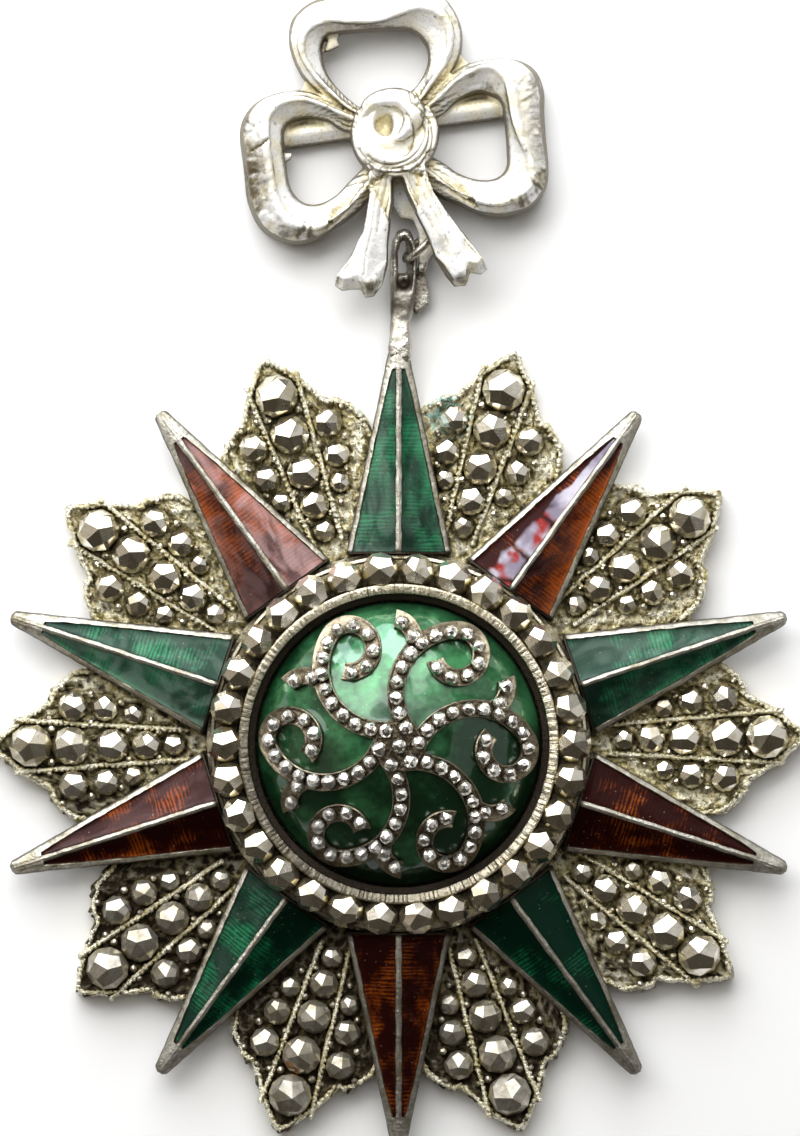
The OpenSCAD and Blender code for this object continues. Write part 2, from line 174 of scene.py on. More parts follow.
# studs of the boss: a hair further out than in the frame, and between which widths and heights
BOSS_STUD_R, BOSS_STUD_WIDE, BOSS_STUD_HIGH = 13.15, (2.6, 2.9), (1.55, 1.8)
# two ropes divide a lobe: degrees off its axis, and the radii between which they run
DIVIDER_OFF, DIVIDER_FROM, DIVIDER_TO = 3.9, 16.2, 29.2
# a third lies along its edge: degrees to each side, and how far inside the edge
EDGE_ROPE_OFF, EDGE_ROPE_IN = 14.2, 0.38
ROPE_THICK, ROPE_SLANT = 0.52, 0.75
# half of the small grains between the studs: sideways, radius, diameter
GRAINS = [
    (1.25, 26.45, 0.52), (3.9, 23.4, 0.5), (1.75, 23.45, 0.46), (1.1, 20.55, 0.46),
    (3.25, 21.1, 0.44), (0.95, 18.25, 0.42), (1.95, 18.75, 0.4), (4.4, 25.6, 0.42), (2.1, 26.6, 0.4),
]
# arcs of one arm of the ornament: centre x, centre y, radius, from, to, beads
ARMS = 6
ARCS = [(4.4, 3.9, 4.6, 222, 90, 9), (4.4, 6.75, 1.75, 90, -165, 6), (6.35, 4.3, 1.75, -70, 20, 2)]
STRIP_W, STRIP_T, BEAD_D = 1.3, 0.3, 1.1
# the disc that joins the arms: radius, height over the dome
DISC_PROFILE = [
    (0.02, 0.06), (1.9, 0.06), (1.9, 0.24), (1.84, 0.3), (1.7, 0.28), (1.6, 0.18), (0.3, 0.14), (0.02, 0.14),
]

# the bow, upright round its knot: where it goes, and the rows of its ribbons
KNOT = (-0.27, 46.05)
BOW_TURN = 8
BACK_Z, CREST_Z = 1.0, 4.1
# ribbon bar: radius, height along the bow, its two ends
BAR_R, BAR_Y, BAR_ENDS = 0.95, 1.35, (-9.9, 9.7)
# round pad of the knot: where its middle is, and its radius and height going up
PAD_X = -0.2
PAD_PROFILE = [
    (0.05, BACK_Z), (3.15, BACK_Z), (3.2, 3.4), (3.05, 4.0), (2.6, 4.5), (1.8, 4.85), (0.05, 5.0),
]
# across a ribbon from its edge (-1) over its ridge (0) to the hole (1): how far below the ridge
RIBBON_SECTION = [
    (-1, 2.3), (-0.92, 1.7), (-0.84, 0.95), (-0.78, 0.76), (-0.6, 0.6), (-0.3, 0.34), (-0.2, 0.06),
    (0, 0.0), (0.14, 0.06), (0.22, 0.3), (0.5, 0.62), (0.8, 0.94), (0.92, 1.25), (1, 2.0),
]
# hole x, hole y, ridge x, ridge y, edge x, edge y
LEFT_LOOP = [
    (-1.5, 0.3, -1.5, 1.1, -1.5, 2.0), (-3.9, 1.0, -3.3, 2.0, -3.0, 2.5),
    (-4.9, 1.9, -5.0, 3.05, -4.8, 3.7), (-6.4, 2.35, -6.6, 3.8, -6.5, 4.5),
    (-7.7, 2.2, -8.2, 3.7, -8.4, 4.6), (-8.3, 1.6, -9.3, 2.9, -10.3, 4.0),
    (-8.45, 0.6, -9.65, 1.2, -11.6, 2.3), (-8.5, -1.0, -9.7, -1.0, -11.75, -0.8),
    (-8.45, -2.4, -9.65, -3.0, -11.8, -3.4), (-8.1, -3.4, -9.2, -4.7, -11.1, -5.5),
    (-7.4, -4.05, -8.1, -5.8, -9.6, -6.7), (-6.4, -4.2, -6.7, -6.1, -7.6, -7.05),
    (-5.1, -3.75, -5.2, -5.45, -5.4, -6.2), (-3.9, -2.8, -3.6, -4.3, -3.3, -5.0),
    (-1.8, -1.2, -1.6, -2.4, -1.4, -3.2),
]
TOP_LOOP = [
    (0.4, 1.4, 1.2, 1.4, 1.8, 1.2), (1.3, 3.0, 2.6, 2.9, 3.2, 2.6),
    (2.1, 3.6, 3.5, 3.9, 4.3, 3.6), (2.8, 4.4, 4.5, 5.0, 5.4, 4.7),
    (3.25, 5.3, 5.1, 6.3, 6.05, 6.2), (3.35, 6.2, 5.25, 7.7, 6.1, 8.0),
    (3.0, 7.1, 4.6, 9.0, 5.3, 9.9), (2.3, 7.8, 3.1, 9.45, 3.9, 11.0),
    (1.2, 8.05, 1.4, 9.05, 1.9, 11.5), (-0.3, 8.2, -0.3, 8.75, -0.2, 11.4),
    (-1.8, 8.3, -2.2, 9.0, -2.6, 11.4), (-3.0, 8.35, -3.9, 9.35, -4.9, 11.1),
    (-4.0, 8.3, -5.3, 9.0, -6.5, 10.0), (-4.5, 7.7, -6.1, 8.0, -7.0, 8.3),
    (-4.6, 6.6, -6.0, 6.7, -6.75, 6.5), (-4.35, 5.3, -5.35, 5.4, -6.1, 5.0),
    (-3.6, 4.05, -4.4, 4.1, -5.0, 3.7), (-2.5, 2.8, -3.1, 2.6, -3.6, 2.3),
    (-0.6, 1.4, -1.0, 1.3, -1.6, 1.0),
]
RIGHT_LOOP = [
    (1.4, -1.0, 1.2, -2.2, 1.0, -3.0), (3.3, -2.35, 2.9, -3.7, 2.5, -4.8),
    (4.3, -3.3, 4.2, -4.9, 4.1, -5.8), (5.5, -3.95, 5.6, -5.8, 5.7, -6.75),
    (6.7, -4.2, 7.2, -6.15, 7.6, -7.15), (7.6, -3.95, 8.8, -5.8, 9.5, -6.75),
    (8.1, -3.3, 9.8, -4.7, 10.8, -5.5), (8.25, -2.3, 9.9, -3.2, 11.25, -3.8),
    (8.35, -1.0, 9.3, -1.4, 11.35, -1.8), (8.4, 0.2, 9.0, 0.2, 11.5, 0.2),
    (8.4, 1.2, 8.95, 1.8, 11.7, 2.0), (8.0, 1.9, 8.8, 3.3, 11.2, 3.7),
    (7.0, 2.4, 7.8, 4.3, 9.6, 4.7), (5.8, 2.3, 6.3, 4.1, 7.0, 4.9),
    (4.7, 1.8, 4.9, 3.4, 4.9, 4.2), (3.9, 1.2, 3.6, 2.5, 3.4, 3.1),
    (1.4, 0.2, 1.5, 1.0, 1.6, 1.8),
]
LEFT_TAIL = [
    (-2.3, -2.4), (-2.5, -4.6), (-3.3, -6.9), (-4.7, -8.6), (-6.15, -10.6), (-5.6, -11.1),
    (-4.2, -11.0), (-3.9, -11.8), (-3.3, -11.85), (-2.5, -11.0), (-1.9, -9.6),
    (-1.65, -8.0), (-1.25, -6.5), (-0.8, -5.0), (-0.5, -2.4),
]
RIGHT_TAIL = [
    (-0.1, -2.4), (0.15, -4.4), (0.75, -6.3), (1.35, -8.0), (1.7, -9.7), (2.3, -11.1),
    (2.85, -12.0), (3.65, -11.9), (4.1, -11.05), (5.0, -11.35), (5.5, -11.0),
    (5.2, -10.0), (4.1, -8.0), (3.0, -6.2), (2.2, -4.7), (1.8, -2.4),
]
STRAP = [
    (-1.2, -2.6), (-0.9, -5.1), (-0.45, -6.15), (0.45, -6.4), (0.75, -7.6), (0.5, -9.3),
    (0.35, -10.4), (0.85, -10.4), (1.3, -9.4), (2.6, -8.5), (3.0, -7.2), (2.3, -5.2), (1.8, -2.6),
]
STRAP_HOLE = (1.98, -7.45, 0.62)
# solder between the strap and the tongue
BRIDGE = [(0.35, -9.85), (0.8, -9.9), (0.85, -10.35), (0.35, -10.35)]
TONGUE = [
    (0.35, -9.85), (0.8, -9.9), (0.98, -11.4), (0.98, -12.2), (0.75, -12.9),
    (-0.28, -13.6), (-0.55, -13.1), (-0.2, -11.2),
]
# casting flash left where the loops meet and in two of their holes
FLASHES = [
    [(-7.4, 4.1), (-6.4, 4.8), (-5.9, 6.0), (-5.5, 4.8), (-5.4, 4.2)],
    [(4.7, 4.0), (5.4, 5.1), (5.7, 6.1), (6.0, 5.2), (6.35, 4.8)],
    [(-4.4, 7.2), (-3.9, 8.4), (-3.2, 8.2), (-3.35, 7.9), (-3.2, 7.5), (-3.9, 7.25)],
    [(-8.6, -0.1), (-8.0, -0.05), (-7.95, -0.3), (-8.2, -0.6), (-8.6, -0.6)],
]
# flat pieces of the bow: outline, lowest and highest point
FLATS = [(STRAP, 1.25, 1.95), (TONGUE, 0.2, 1.05), (BRIDGE, 0.3, 1.9), *[(f, BACK_Z, 2.3) for f in FLASHES]]
# where the bow is rough and brown: x, y, size, how dark
STAINS = [
    (11.0, -4.6, 1.6, 0.8), (-9.6, -6.0, 1.4, 0.6), (-7.6, -6.4, 1.3, 0.75), (-11.2, 2.6, 1.5, 0.75),
    (8.6, -6.3, 1.3, 0.7), (10.9, 2.6, 1.3, 0.6), (10.6, 0.8, 1.2, 0.5), (10.9, -1.6, 1.2, 0.45),
    (-11.3, -1.6, 1.2, 0.6), (-11.1, -4.0, 1.2, 0.7), (6.2, 4.4, 0.9, 0.6), (7.4, 2.6, 0.8, 0.5),
    (-6.4, 9.4, 1.2, 0.5), (5.7, 9.0, 1.3, 0.45), (-3.5, -11.2, 0.8, 0.7), (3.6, -11.5, 0.8, 0.7),
]
# outer walls of the side loops: x, how dark
WALLS = [(-11.4, 0.93), (11.3, 0.72)]
# pleats of each loop: its rows, and where across the ribbon they run
PLEATS = [
    (LEFT_LOOP, (-0.62, -0.3, 0.35, 0.62)), (TOP_LOOP, (-0.5, 0.3, 0.66)),
    (RIGHT_LOOP, (-0.6, -0.25, 0.4, 0.7)),
]
# fold of each tail: its start, its end, and the dips before the two tips
TAIL_FOLDS = [
    ((-1.5, -2.6), (-4.0, -10.3), ((-5.0, -9.3), (-2.7, -9.5))),
    ((0.8, -2.6), (3.4, -10.4), ((2.4, -9.3), (4.3, -9.2))),
]
# scratches along a tail: how far beside its fold, and how far down
TAIL_LINES = [(0.06, 8), (0.55, 4.5), (-0.6, 5)]
# strands wound round the knot: radius, first and last angle
KNOT_STRANDS = [(2.35, -2.6, 0.2), (2.68, -2.9, 0.5), (2.98, -2.4, 0.9), (1.75, -1.2, 0.9)]
# bands that wrap the knot: x, y, half width, height over the pad
LOW_BAND = [
    (-2.2, 2.2, 0.45, 0.5), (-2.55, 0.6, 0.75, 0.9), (-2.2, -1.0, 0.95, 1.2), (-0.9, -2.1, 1.05, 1.4),
    (0.7, -2.2, 1.05, 1.4), (2.0, -1.2, 0.95, 1.2), (2.65, 0.2, 0.75, 0.9), (2.5, 1.6, 0.45, 0.5),
]
TOP_BAND = [
    (-2.3, 1.7, 0.35, 0.5), (-1.5, 2.6, 0.6, 1.0), (-0.2, 2.8, 0.8, 1.3), (1.0, 2.4, 0.95, 1.5),
    (1.6, 1.4, 0.95, 1.6), (1.2, 0.45, 0.75, 1.6), (0.5, -0.2, 0.5, 1.45), (-0.1, -0.45, 0.25, 1.2),
]
# bail over the top ray: outline of its loop and slot
BAIL_OUT = [
    (-0.62, 32.5), (-0.62, 35), (-0.62, 37.0), (-0.5, 38.2), (-0.1, 38.95), (0.4, 39.15), (0.88, 38.95),
    (1.2, 38.3), (1.34, 37.3), (1.36, 35.5), (1.2, 33.5), (1.0, 32.3),
]
BAIL_SLOT = [
    (-0.06, 34.6), (-0.06, 35.6), (-0.06, 37.4), (0.1, 38.0), (0.25, 38.2), (0.4, 38.25), (0.6, 38.2),
    (0.8, 38.05), (1.05, 37.6), (1.07, 35.6), (0.88, 34.6), (0.4, 34.3),
]
# neck of the bail: x, y, half width, lowest and highest point
BAIL_NECK = [
    (0.1, 28.7, 0.62, 2.0, 2.46), (0.1, 29.3, 0.86, 1.75, 2.56), (0.1, 30.2, 0.9, 1.65, 2.6),
    (0.12, 31.2, 0.8, 1.45, 2.48), (0.15, 32.2, 0.8, 1.3, 2.34), (0.3, 33.4, 0.88, 1.2, 2.24),
    (0.38, 34.1, 0.88, 1.18, 2.16), (0.4, 34.8, 0.6, 1.18, 1.8), (0.42, 35.6, 0.4, 1.18, 1.5),
]
# dent in the slot of the bail: x, y, size
BAIL_DENT = (0.39, 35.0, 0.4)
# jump ring: its centre, radius and wire, and how it leans and turns in degrees
RING_AT, RING_R, RING_WIRE, RING_LEAN, RING_TURN = (1.63, 37.87, 1.8), 1.5, 0.6, 102, 45


def refine(rows, steps):
    """Smooth line through the rows of a table, with that many steps between two rows."""
    table = np.array(rows, float)
    ends = np.vstack([table[:1], table, table[-1:]])
    line = []
    for i in range(len(table) - 1):
        p, q, r, s = ends[i:i + 4]
        for t in np.arange(steps) / steps:
            line.append(0.5 * (2 * q + (r - p) * t + (2 * p - 5 * q + 4 * r - s) * t ** 2
                               + (3 * q - p - 3 * r + s) * t ** 3))
    return np.array(line + [table[-1]])


def skin(rows, rings=False):
    """Shell through closed rows of points, with a cap at each end, or with rings a shell without ends."""
    rows = np.asarray(rows, float)
    m, n = rows.shape[:2]
    faces = []
    for i in range(m if rings else m - 1):
        here, ahead = i * n, (i + 1) % m * n
        for k in range(n):
            after = (k + 1) % n
            faces.append((here + k, here + after, ahead + after, ahead + k))
    if not rings:
        faces += [tuple(range(n))[::-1], tuple((m - 1) * n + k for k in range(n))]
    return rows.reshape(-1, 3), faces


def prism(outline, low, high):
    """Shell of an outline drawn out from one height to another."""
    flat = np.array(outline, float)
    return skin([np.c_[flat, np.full(len(flat), z)] for z in (low, high)])


def turned(points, degrees):
    """Points turned about the vertical."""
    a = math.radians(degrees)
    return points @ np.array([[math.cos(a), math.sin(a), 0], [-math.sin(a), math.cos(a), 0], [0, 0, 1]])


def circle(radius, angles):
    """Points in the plane at a radius and at angles in radians."""
    return np.c_[radius * np.cos(angles), radius * np.sin(angles)]


def stand(name, data):
    """New object in the scene, at the origin."""
    made = bpy.data.objects.new(name, data)
    bpy.context.scene.collection.objects.link(made)
    return made


def mesh_of(name, points, edges=(), faces=()):
    """Mesh from points in millimetres."""
    mesh = bpy.data.meshes.new(name)
    mesh.from_pydata((np.asarray(points, float) * MM).tolist(), edges, faces)
    return mesh


def solid(name, shells, smooth=True, merge=0.0, crease=None):
    """Object from shells in millimetres, its faces turned outwards."""
    faces, start = [], 0
    for points, sides in shells:
        faces += [tuple(i + start for i in side) for side in sides]
        start += len(points)
    mesh = mesh_of(name, np.vstack([points for points, _ in shells]), faces=faces)
    work = bmesh.new()
    work.from_mesh(mesh)
    if merge:
        bmesh.ops.remove_doubles(work, verts=work.verts, dist=merge * MM)
    bmesh.ops.recalc_face_normals(work, faces=work.faces)
    work.to_mesh(mesh)
    work.free()
    if smooth:
        mesh.shade_smooth()
    if crease:
        mesh.set_sharp_from_angle(angle=math.radians(crease))
    return stand(name, mesh)


def add(tree, kind, inputs=None, **settings):
    """Adds a node with its settings, gives its inputs values or links, and returns its outputs."""
    made = tree.nodes.new(kind)
    for name, value in settings.items():
        setattr(made, name, value)
    for name, value in (inputs or {}).items():
        if isinstance(value, bpy.types.NodeSocket):
            tree.links.new(value, made.inputs[name])
        else:
            made.inputs[name].default_value = value
    return made.outputs


def new_material(name):
    """Empty material, and its node tree."""
    material = bpy.data.materials.new(name)
    material.use_nodes = True
    material.node_tree.nodes.clear()
    return material, material.node_tree


def grow_tree(name, inputs):
    """Empty geometry tree with named inputs; gives the tree and its input sockets."""
    tree = bpy.data.node_groups.new(name, "GeometryNodeTree")
    tree.interface.new_socket("Geometry", in_out="OUTPUT", socket_type="NodeSocketGeometry")
    for label, kind in [("Geometry", "Geometry"), *inputs, ("Material", "Material")]:
        tree.interface.new_socket(label, in_out="INPUT", socket_type="NodeSocket" + kind)
    return tree, add(tree, "NodeGroupInput")


def finish_tree(tree, shape, given):
    """Ends a geometry tree: real meshes of one material."""
    real = add(tree, "GeometryNodeRealizeInstances", {"Geometry": shape})[0]
    painted = add(tree, "GeometryNodeSetMaterial", {"Geometry": real, "Material": given["Material"]})[0]
    add(tree, "NodeGroupOutput", {"Geometry": painted})
    return tree


def settle(thing):
    """Leaves what an object's modifiers make of it as its plain mesh."""
    evaluated = thing.evaluated_get(bpy.context.evaluated_depsgraph_get())
    mesh = bpy.data.meshes.new_from_object(evaluated)
    thing.modifiers.clear()
    old, thing.data = thing.data, mesh
    bpy.data.meshes.remove(old)
    return thing


def grow(thing, tree, values):
    """Runs a geometry tree on an object and leaves its result as a plain mesh."""
    step = thing.modifiers.new(tree.name, "NODES")
    step.node_group = tree
    ids = {s.name: s.identifier for s in tree.interface.items_tree if s.in_out == "INPUT"}
    for label, value in values.items():
        step[ids[label]] = value
    return settle(thing)


def uneven(tree, shape, scale, detail, amount):
    """Part of a geometry tree: moves each point by smooth noise, up to about half the amount each way."""
    drift = add(tree, NOISE, {"Scale": scale, "Detail": detail})[1]
    drift = add(tree, VECTOR, {0: drift, 1: (0.5, 0.5, 0.5)}, operation="SUBTRACT")[0]
    drift = add(tree, VECTOR, {0: drift, 3: amount}, operation="SCALE")[0]
    return add(tree, "GeometryNodeSetPosition", {"Geometry": shape, "Offset": drift})[0]


def note(thing, label, values):
    """Stores a number or a vector for each point of a mesh, for a tree or a material to read."""
    values = np.asarray(values, np.float32)
    kind, field = ("FLOAT", "value") if values.ndim == 1 else ("FLOAT_VECTOR", "vector")
    thing.data.attributes.new(label, kind, "POINT").data.foreach_set(field, values.ravel())


def cloud(name, points, **attributes):
    """Object of loose points in millimetres, with numbers or vectors as attributes on them."""
    made = stand(name, mesh_of(name, points))
    for label, values in attributes.items():
        note(made, label, values)
    return made


def points_of(mesh):
    """Points of a mesh in millimetres, and their normals."""
    found = []
    for what in ("co", "normal"):
        values = np.zeros(len(mesh.vertices) * 3, np.float32)
        mesh.vertices.foreach_get(what, values)
        found.append(values.reshape(-1, 3))
    return found[0] / MM, found[1]


def move_points(mesh, points):
    """Puts the points of a mesh at places in millimetres."""
    mesh.vertices.foreach_set("co", (points * MM).astype(np.float32).ravel())
    mesh.update()


def join(name, parts):
    """One object from several, in the order given."""
    work = bmesh.new()
    materials = []
    for part in parts:
        start = len(work.faces)
        work.from_mesh(part.data)
        work.faces.ensure_lookup_table()
        mine = list(part.data.materials)
        for face in work.faces[start:]:
            material = mine[face.material_index]
            if material not in materials:
                materials.append(material)
            face.material_index = materials.index(material)
    mesh = bpy.data.meshes.new(name)
    work.to_mesh(mesh)
    work.free()
    for material in materials:
        mesh.materials.append(material)
    for part in parts:
        bpy.data.objects.remove(part)
    return stand(name, mesh)


def place(piece, slot, material, *nodes):
    """Hands a finished piece to the frame."""
    if material is not None:
        piece.data.materials.clear()
        piece.data.materials.append(material)
    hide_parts(*nodes)
    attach(piece, "root")


def wobble(points, scale, amount, seed=0.0):
    """Smooth random heights at points in millimetres, up to about the amount."""
    return np.array([
        noise.noise(Vector((x / scale + seed, y / scale, z / scale))) for x, y, z in points
    ]) * amount


# materials
# height at which the stains of a silver are centred, in mm
SPOT_Z = 2.2


def worn_silver(
    name, rubbed, film, dark, reach=0.8, grain_mm=0.3, grain=0.4, relief=0.05, crust=0.0,
    rough=(0.3, 0.5), warm=0.4, steep=(0.0, 0.3, 0.7), metal=1.0, spots=(),
):
    """Silver with its patina: rubbed bright where it stands proud, filmed on the flats, black in recesses.

    reach, grain_mm and relief are in mm: how far a recess darkens, the size of the grain and its depth.
    grain is how far it shifts the edges of the films, crust how far the casting's skin breaks up into white
    specks and black pits, warm how much film lies in patches, and steep how much dark film steep faces keep
    and between which upward normals it fades. Each of the spots is a colour, a place and a size in mm and how
    thick it lies.
    """
    material, tree = new_material(name)
    space = add(tree, "ShaderNodeTexCoord")
    at = space["Object"]
    patches = add(tree, NOISE, {"Vector": at, "Scale": 1 / (1.7 * MM), "Detail": 4.0})[0]
    lumps = add(tree, NOISE, {"Vector": at, "Scale": 1 / (0.55 * MM), "Detail": 3.0})[0]
    pits = add(tree, NOISE, {
        "Vector": at, "Scale": 1 / (grain_mm * MM), "Detail": 5.0, "Roughness": 0.65,
    })[0]
    # the pits shift each threshold a little, so that no film ends in an even edge
    shift = 0.3 * grain
    sky = add(tree, "ShaderNodeAmbientOcclusion", {"Distance": reach * MM}, samples=6)[1]
    sky = add(tree, MATH, {0: pits, 1: 2 * shift, 2: sky}, operation="MULTIPLY_ADD")[0]
    hidden = add(tree, RANGE, {0: sky, 1: 0.97 + shift, 2: 0.6 + shift, 4: 0.95}, **SMOOTH)[0]
    stained = add(tree, RANGE, {0: patches, 1: 0.4, 2: 0.7, 4: warm}, **SMOOTH)[0]
    filmed = add(tree, MATH, {0: hidden, 1: stained}, operation="MAXIMUM")[0]
    specks = add(tree, RANGE, {0: pits, 1: 0.52, 2: 0.62, 3: 1.0, 4: 1.0 - crust}, **SMOOTH)[0]
    filmed = add(tree, MATH, {0: filmed, 1: specks}, operation="MULTIPLY")[0]
    black = add(tree, RANGE, {0: sky, 1: 0.5 + shift, 2: 0.15 + shift}, **SMOOTH)[0]
    mark = add(tree, "ShaderNodeAttribute", attribute_name="mark")[2]
    mark = add(tree, MATH, {0: pits, 1: 0.6, 2: mark}, operation="MULTIPLY_ADD")[0]
    marked = add(tree, RANGE, {0: mark, 1: 0.4, 2: 1.2}, **SMOOTH)[0]
    holes = add(tree, RANGE, {0: pits, 1: 0.45, 2: 0.37, 4: crust}, **SMOOTH)[0]
    upward = add(tree, "ShaderNodeSeparateXYZ", {0: space["Normal"]})[2]
    upward = add(tree, MATH, {0: pits, 1: 0.4, 2: upward}, operation="MULTIPLY_ADD")[0]
    side = add(tree, RANGE, {0: upward, 1: steep[2] + 0.2, 2: steep[1] + 0.2, 4: steep[0]}, **SMOOTH)[0]
    for other in (marked, holes, side):
        black = add(tree, MATH, {0: black, 1: other}, operation="MAXIMUM")[0]
    tone = add(tree, MIX, {0: filmed, 6: srgb(rubbed), 7: srgb(film)}, data_type="RGBA")[2]
    tone = add(tree, MIX, {0: black, 6: tone, 7: srgb(dark)}, data_type="RGBA")[2]
    bare = add(tree, RANGE, {0: black, 3: metal, 4: 0.6})[0]
    covered = add(tree, MATH, {0: filmed, 1: black}, operation="MAXIMUM")[0]
    dull = add(tree, RANGE, {0: covered, 3: rough[0], 4: rough[1]})[0]
    for code, x, y, size, thick in spots:
        away = add(tree, VECTOR, {0: at, 1: (x * MM, y * MM, SPOT_Z * MM)}, operation="DISTANCE")[1]
        for what, much in ((lumps, 1.6), (pits, 1.2)):
            away = add(tree, MATH, {0: what, 1: much * size * MM, 2: away}, operation="MULTIPLY_ADD")[0]
        there = add(tree, RANGE, {0: away, 1: 2.4 * size * MM, 2: 1.8 * size * MM, 4: thick}, **SMOOTH)[0]
        bloom = add(tree, RANGE, {0: lumps, 1: 0.5, 2: 0.6, 4: 0.85}, **SMOOTH)[0]
        bloom = add(tree, MIX, {0: bloom, 6: srgb(code), 7: srgb("#EEEBD6")}, data_type="RGBA")[2]
        bloom = add(tree, MIX, {0: holes, 6: bloom, 7: srgb(dark)}, data_type="RGBA")[2]
        tone = add(tree, MIX, {0: there, 6: tone, 7: bloom}, data_type="RGBA")[2]
        clear = add(tree, RANGE, {0: there, 3: 1.0, 4: 0.0})[0]
        bare = add(tree, MATH, {0: bare, 1: clear}, operation="MULTIPLY")[0]
        dull = add(tree, MATH, {0: dull, 1: there}, operation="MAXIMUM")[0]
    bump = add(tree, BUMP, {"Distance": relief * MM, "Height": pits})[0]
    shader = add(tree, PRINCIPLED, {"Base Color": tone, "Metallic": bare, "Roughness": dull, "Normal": bump})
    add(tree, "ShaderNodeOutputMaterial", {"Surface": shader[0]})
    return material


def enamel_tone(tree, parts, low, high, deep, light):
    """Part of a material: colour of a clear enamel, light where the mesh marks it thin, where the mesh
    carries painted light, and where the noises make it thin.
    """
    shade = add(tree, "ShaderNodeAttribute", attribute_name="thinness")[2]
    for what, much in parts:
        shade = add(tree, MATH, {0: what, 1: much, 2: shade}, operation="MULTIPLY_ADD")[0]
    shade = add(tree, RANGE, {0: shade, 1: low, 2: high}, **SMOOTH)[0]
    return add(tree, MIX, {0: shade, 6: deep, 7: light}, data_type="RGBA")[2]


def flecked(tree, tone, cell_mm, reach, thick, code):
    """Part of a material: a tone with tiny pale bubbles in it, about one in each cell of that size."""
    here = add(tree, "ShaderNodeTexCoord")["Object"]
    flecks = add(tree, "ShaderNodeTexVoronoi", {"Vector": here, "Scale": 1 / (cell_mm * MM)})[0]
    flecks = add(tree, RANGE, {0: flecks, 1: reach, 2: 0.03, 4: thick}, **SMOOTH)[0]
    return add(tree, MIX, {0: flecks, 6: tone, 7: srgb(code)}, data_type="RGBA")[2]


def chipped(tree, tone, on_ray, broad):
    """Part of a material: a tone with its top coat gone, and where from 0 to 1.

    The coat is gone beside the ridge: in one smooth strip towards the tip, and in islands nearer the boss.
    """
    across = add(tree, "ShaderNodeAttribute", attribute_name="across")[2]
    along = add(tree, "ShaderNodeSeparateXYZ", {0: on_ray})[1]
    wander = add(tree, NOISE, {"Vector": on_ray, "Scale": 0.6, "Detail": 1.5, "Distortion": 0.4})[0]
    strip = add(tree, MATH, {0: wander, 1: 0.5, 2: across}, operation="MULTIPLY_ADD")[0]
    lost = add(tree, RANGE, {0: strip, 1: 0.92, 2: 0.76}, **SMOOTH)[0]
    bent = add(tree, NOISE, {"Vector": on_ray, "Scale": 0.7})[1]
    bent = add(tree, VECTOR, {0: bent, 1: (0.9, 0.9, 0.0), 2: on_ray}, operation="MULTIPLY_ADD")[0]
    cracks = {"feature": "DISTANCE_TO_EDGE"}
    islands = add(tree, "ShaderNodeTexVoronoi", {"Vector": bent, "Scale": 0.34}, **cracks)[0]
    islands = add(tree, RANGE, {0: islands, 1: 0.0, 2: 0.13}, **SMOOTH)[0]
    low = add(tree, RANGE, {0: along, 1: 22.2, 2: 21.0}, **SMOOTH)[0]
    whole = add(tree, MIX, {0: low, 2: 1.0, 3: islands})[0]
    lost = add(tree, MATH, {0: lost, 1: whole}, operation="MULTIPLY")[0]
    red = add(tree, RANGE, {0: wander, 1: 0.42, 2: 0.62}, **SMOOTH)[0]
    red = add(tree, MATH, {0: red, 1: low}, operation="MULTIPLY")[0]
    pale = add(tree, RANGE, {0: broad, 1: 0.35, 2: 0.65}, **SMOOTH)[0]
    pale = add(tree, MIX, {0: pale, 6: srgb("#776F80"), 7: srgb("#BDB8C4")}, data_type="RGBA")[2]
    bared = add(tree, MIX, {0: red, 6: pale, 7: srgb("#8A1F17")}, data_type="RGBA")[2]
    return add(tree, MIX, {0: lost, 6: tone, 7: bared}, data_type="RGBA")[2], lost


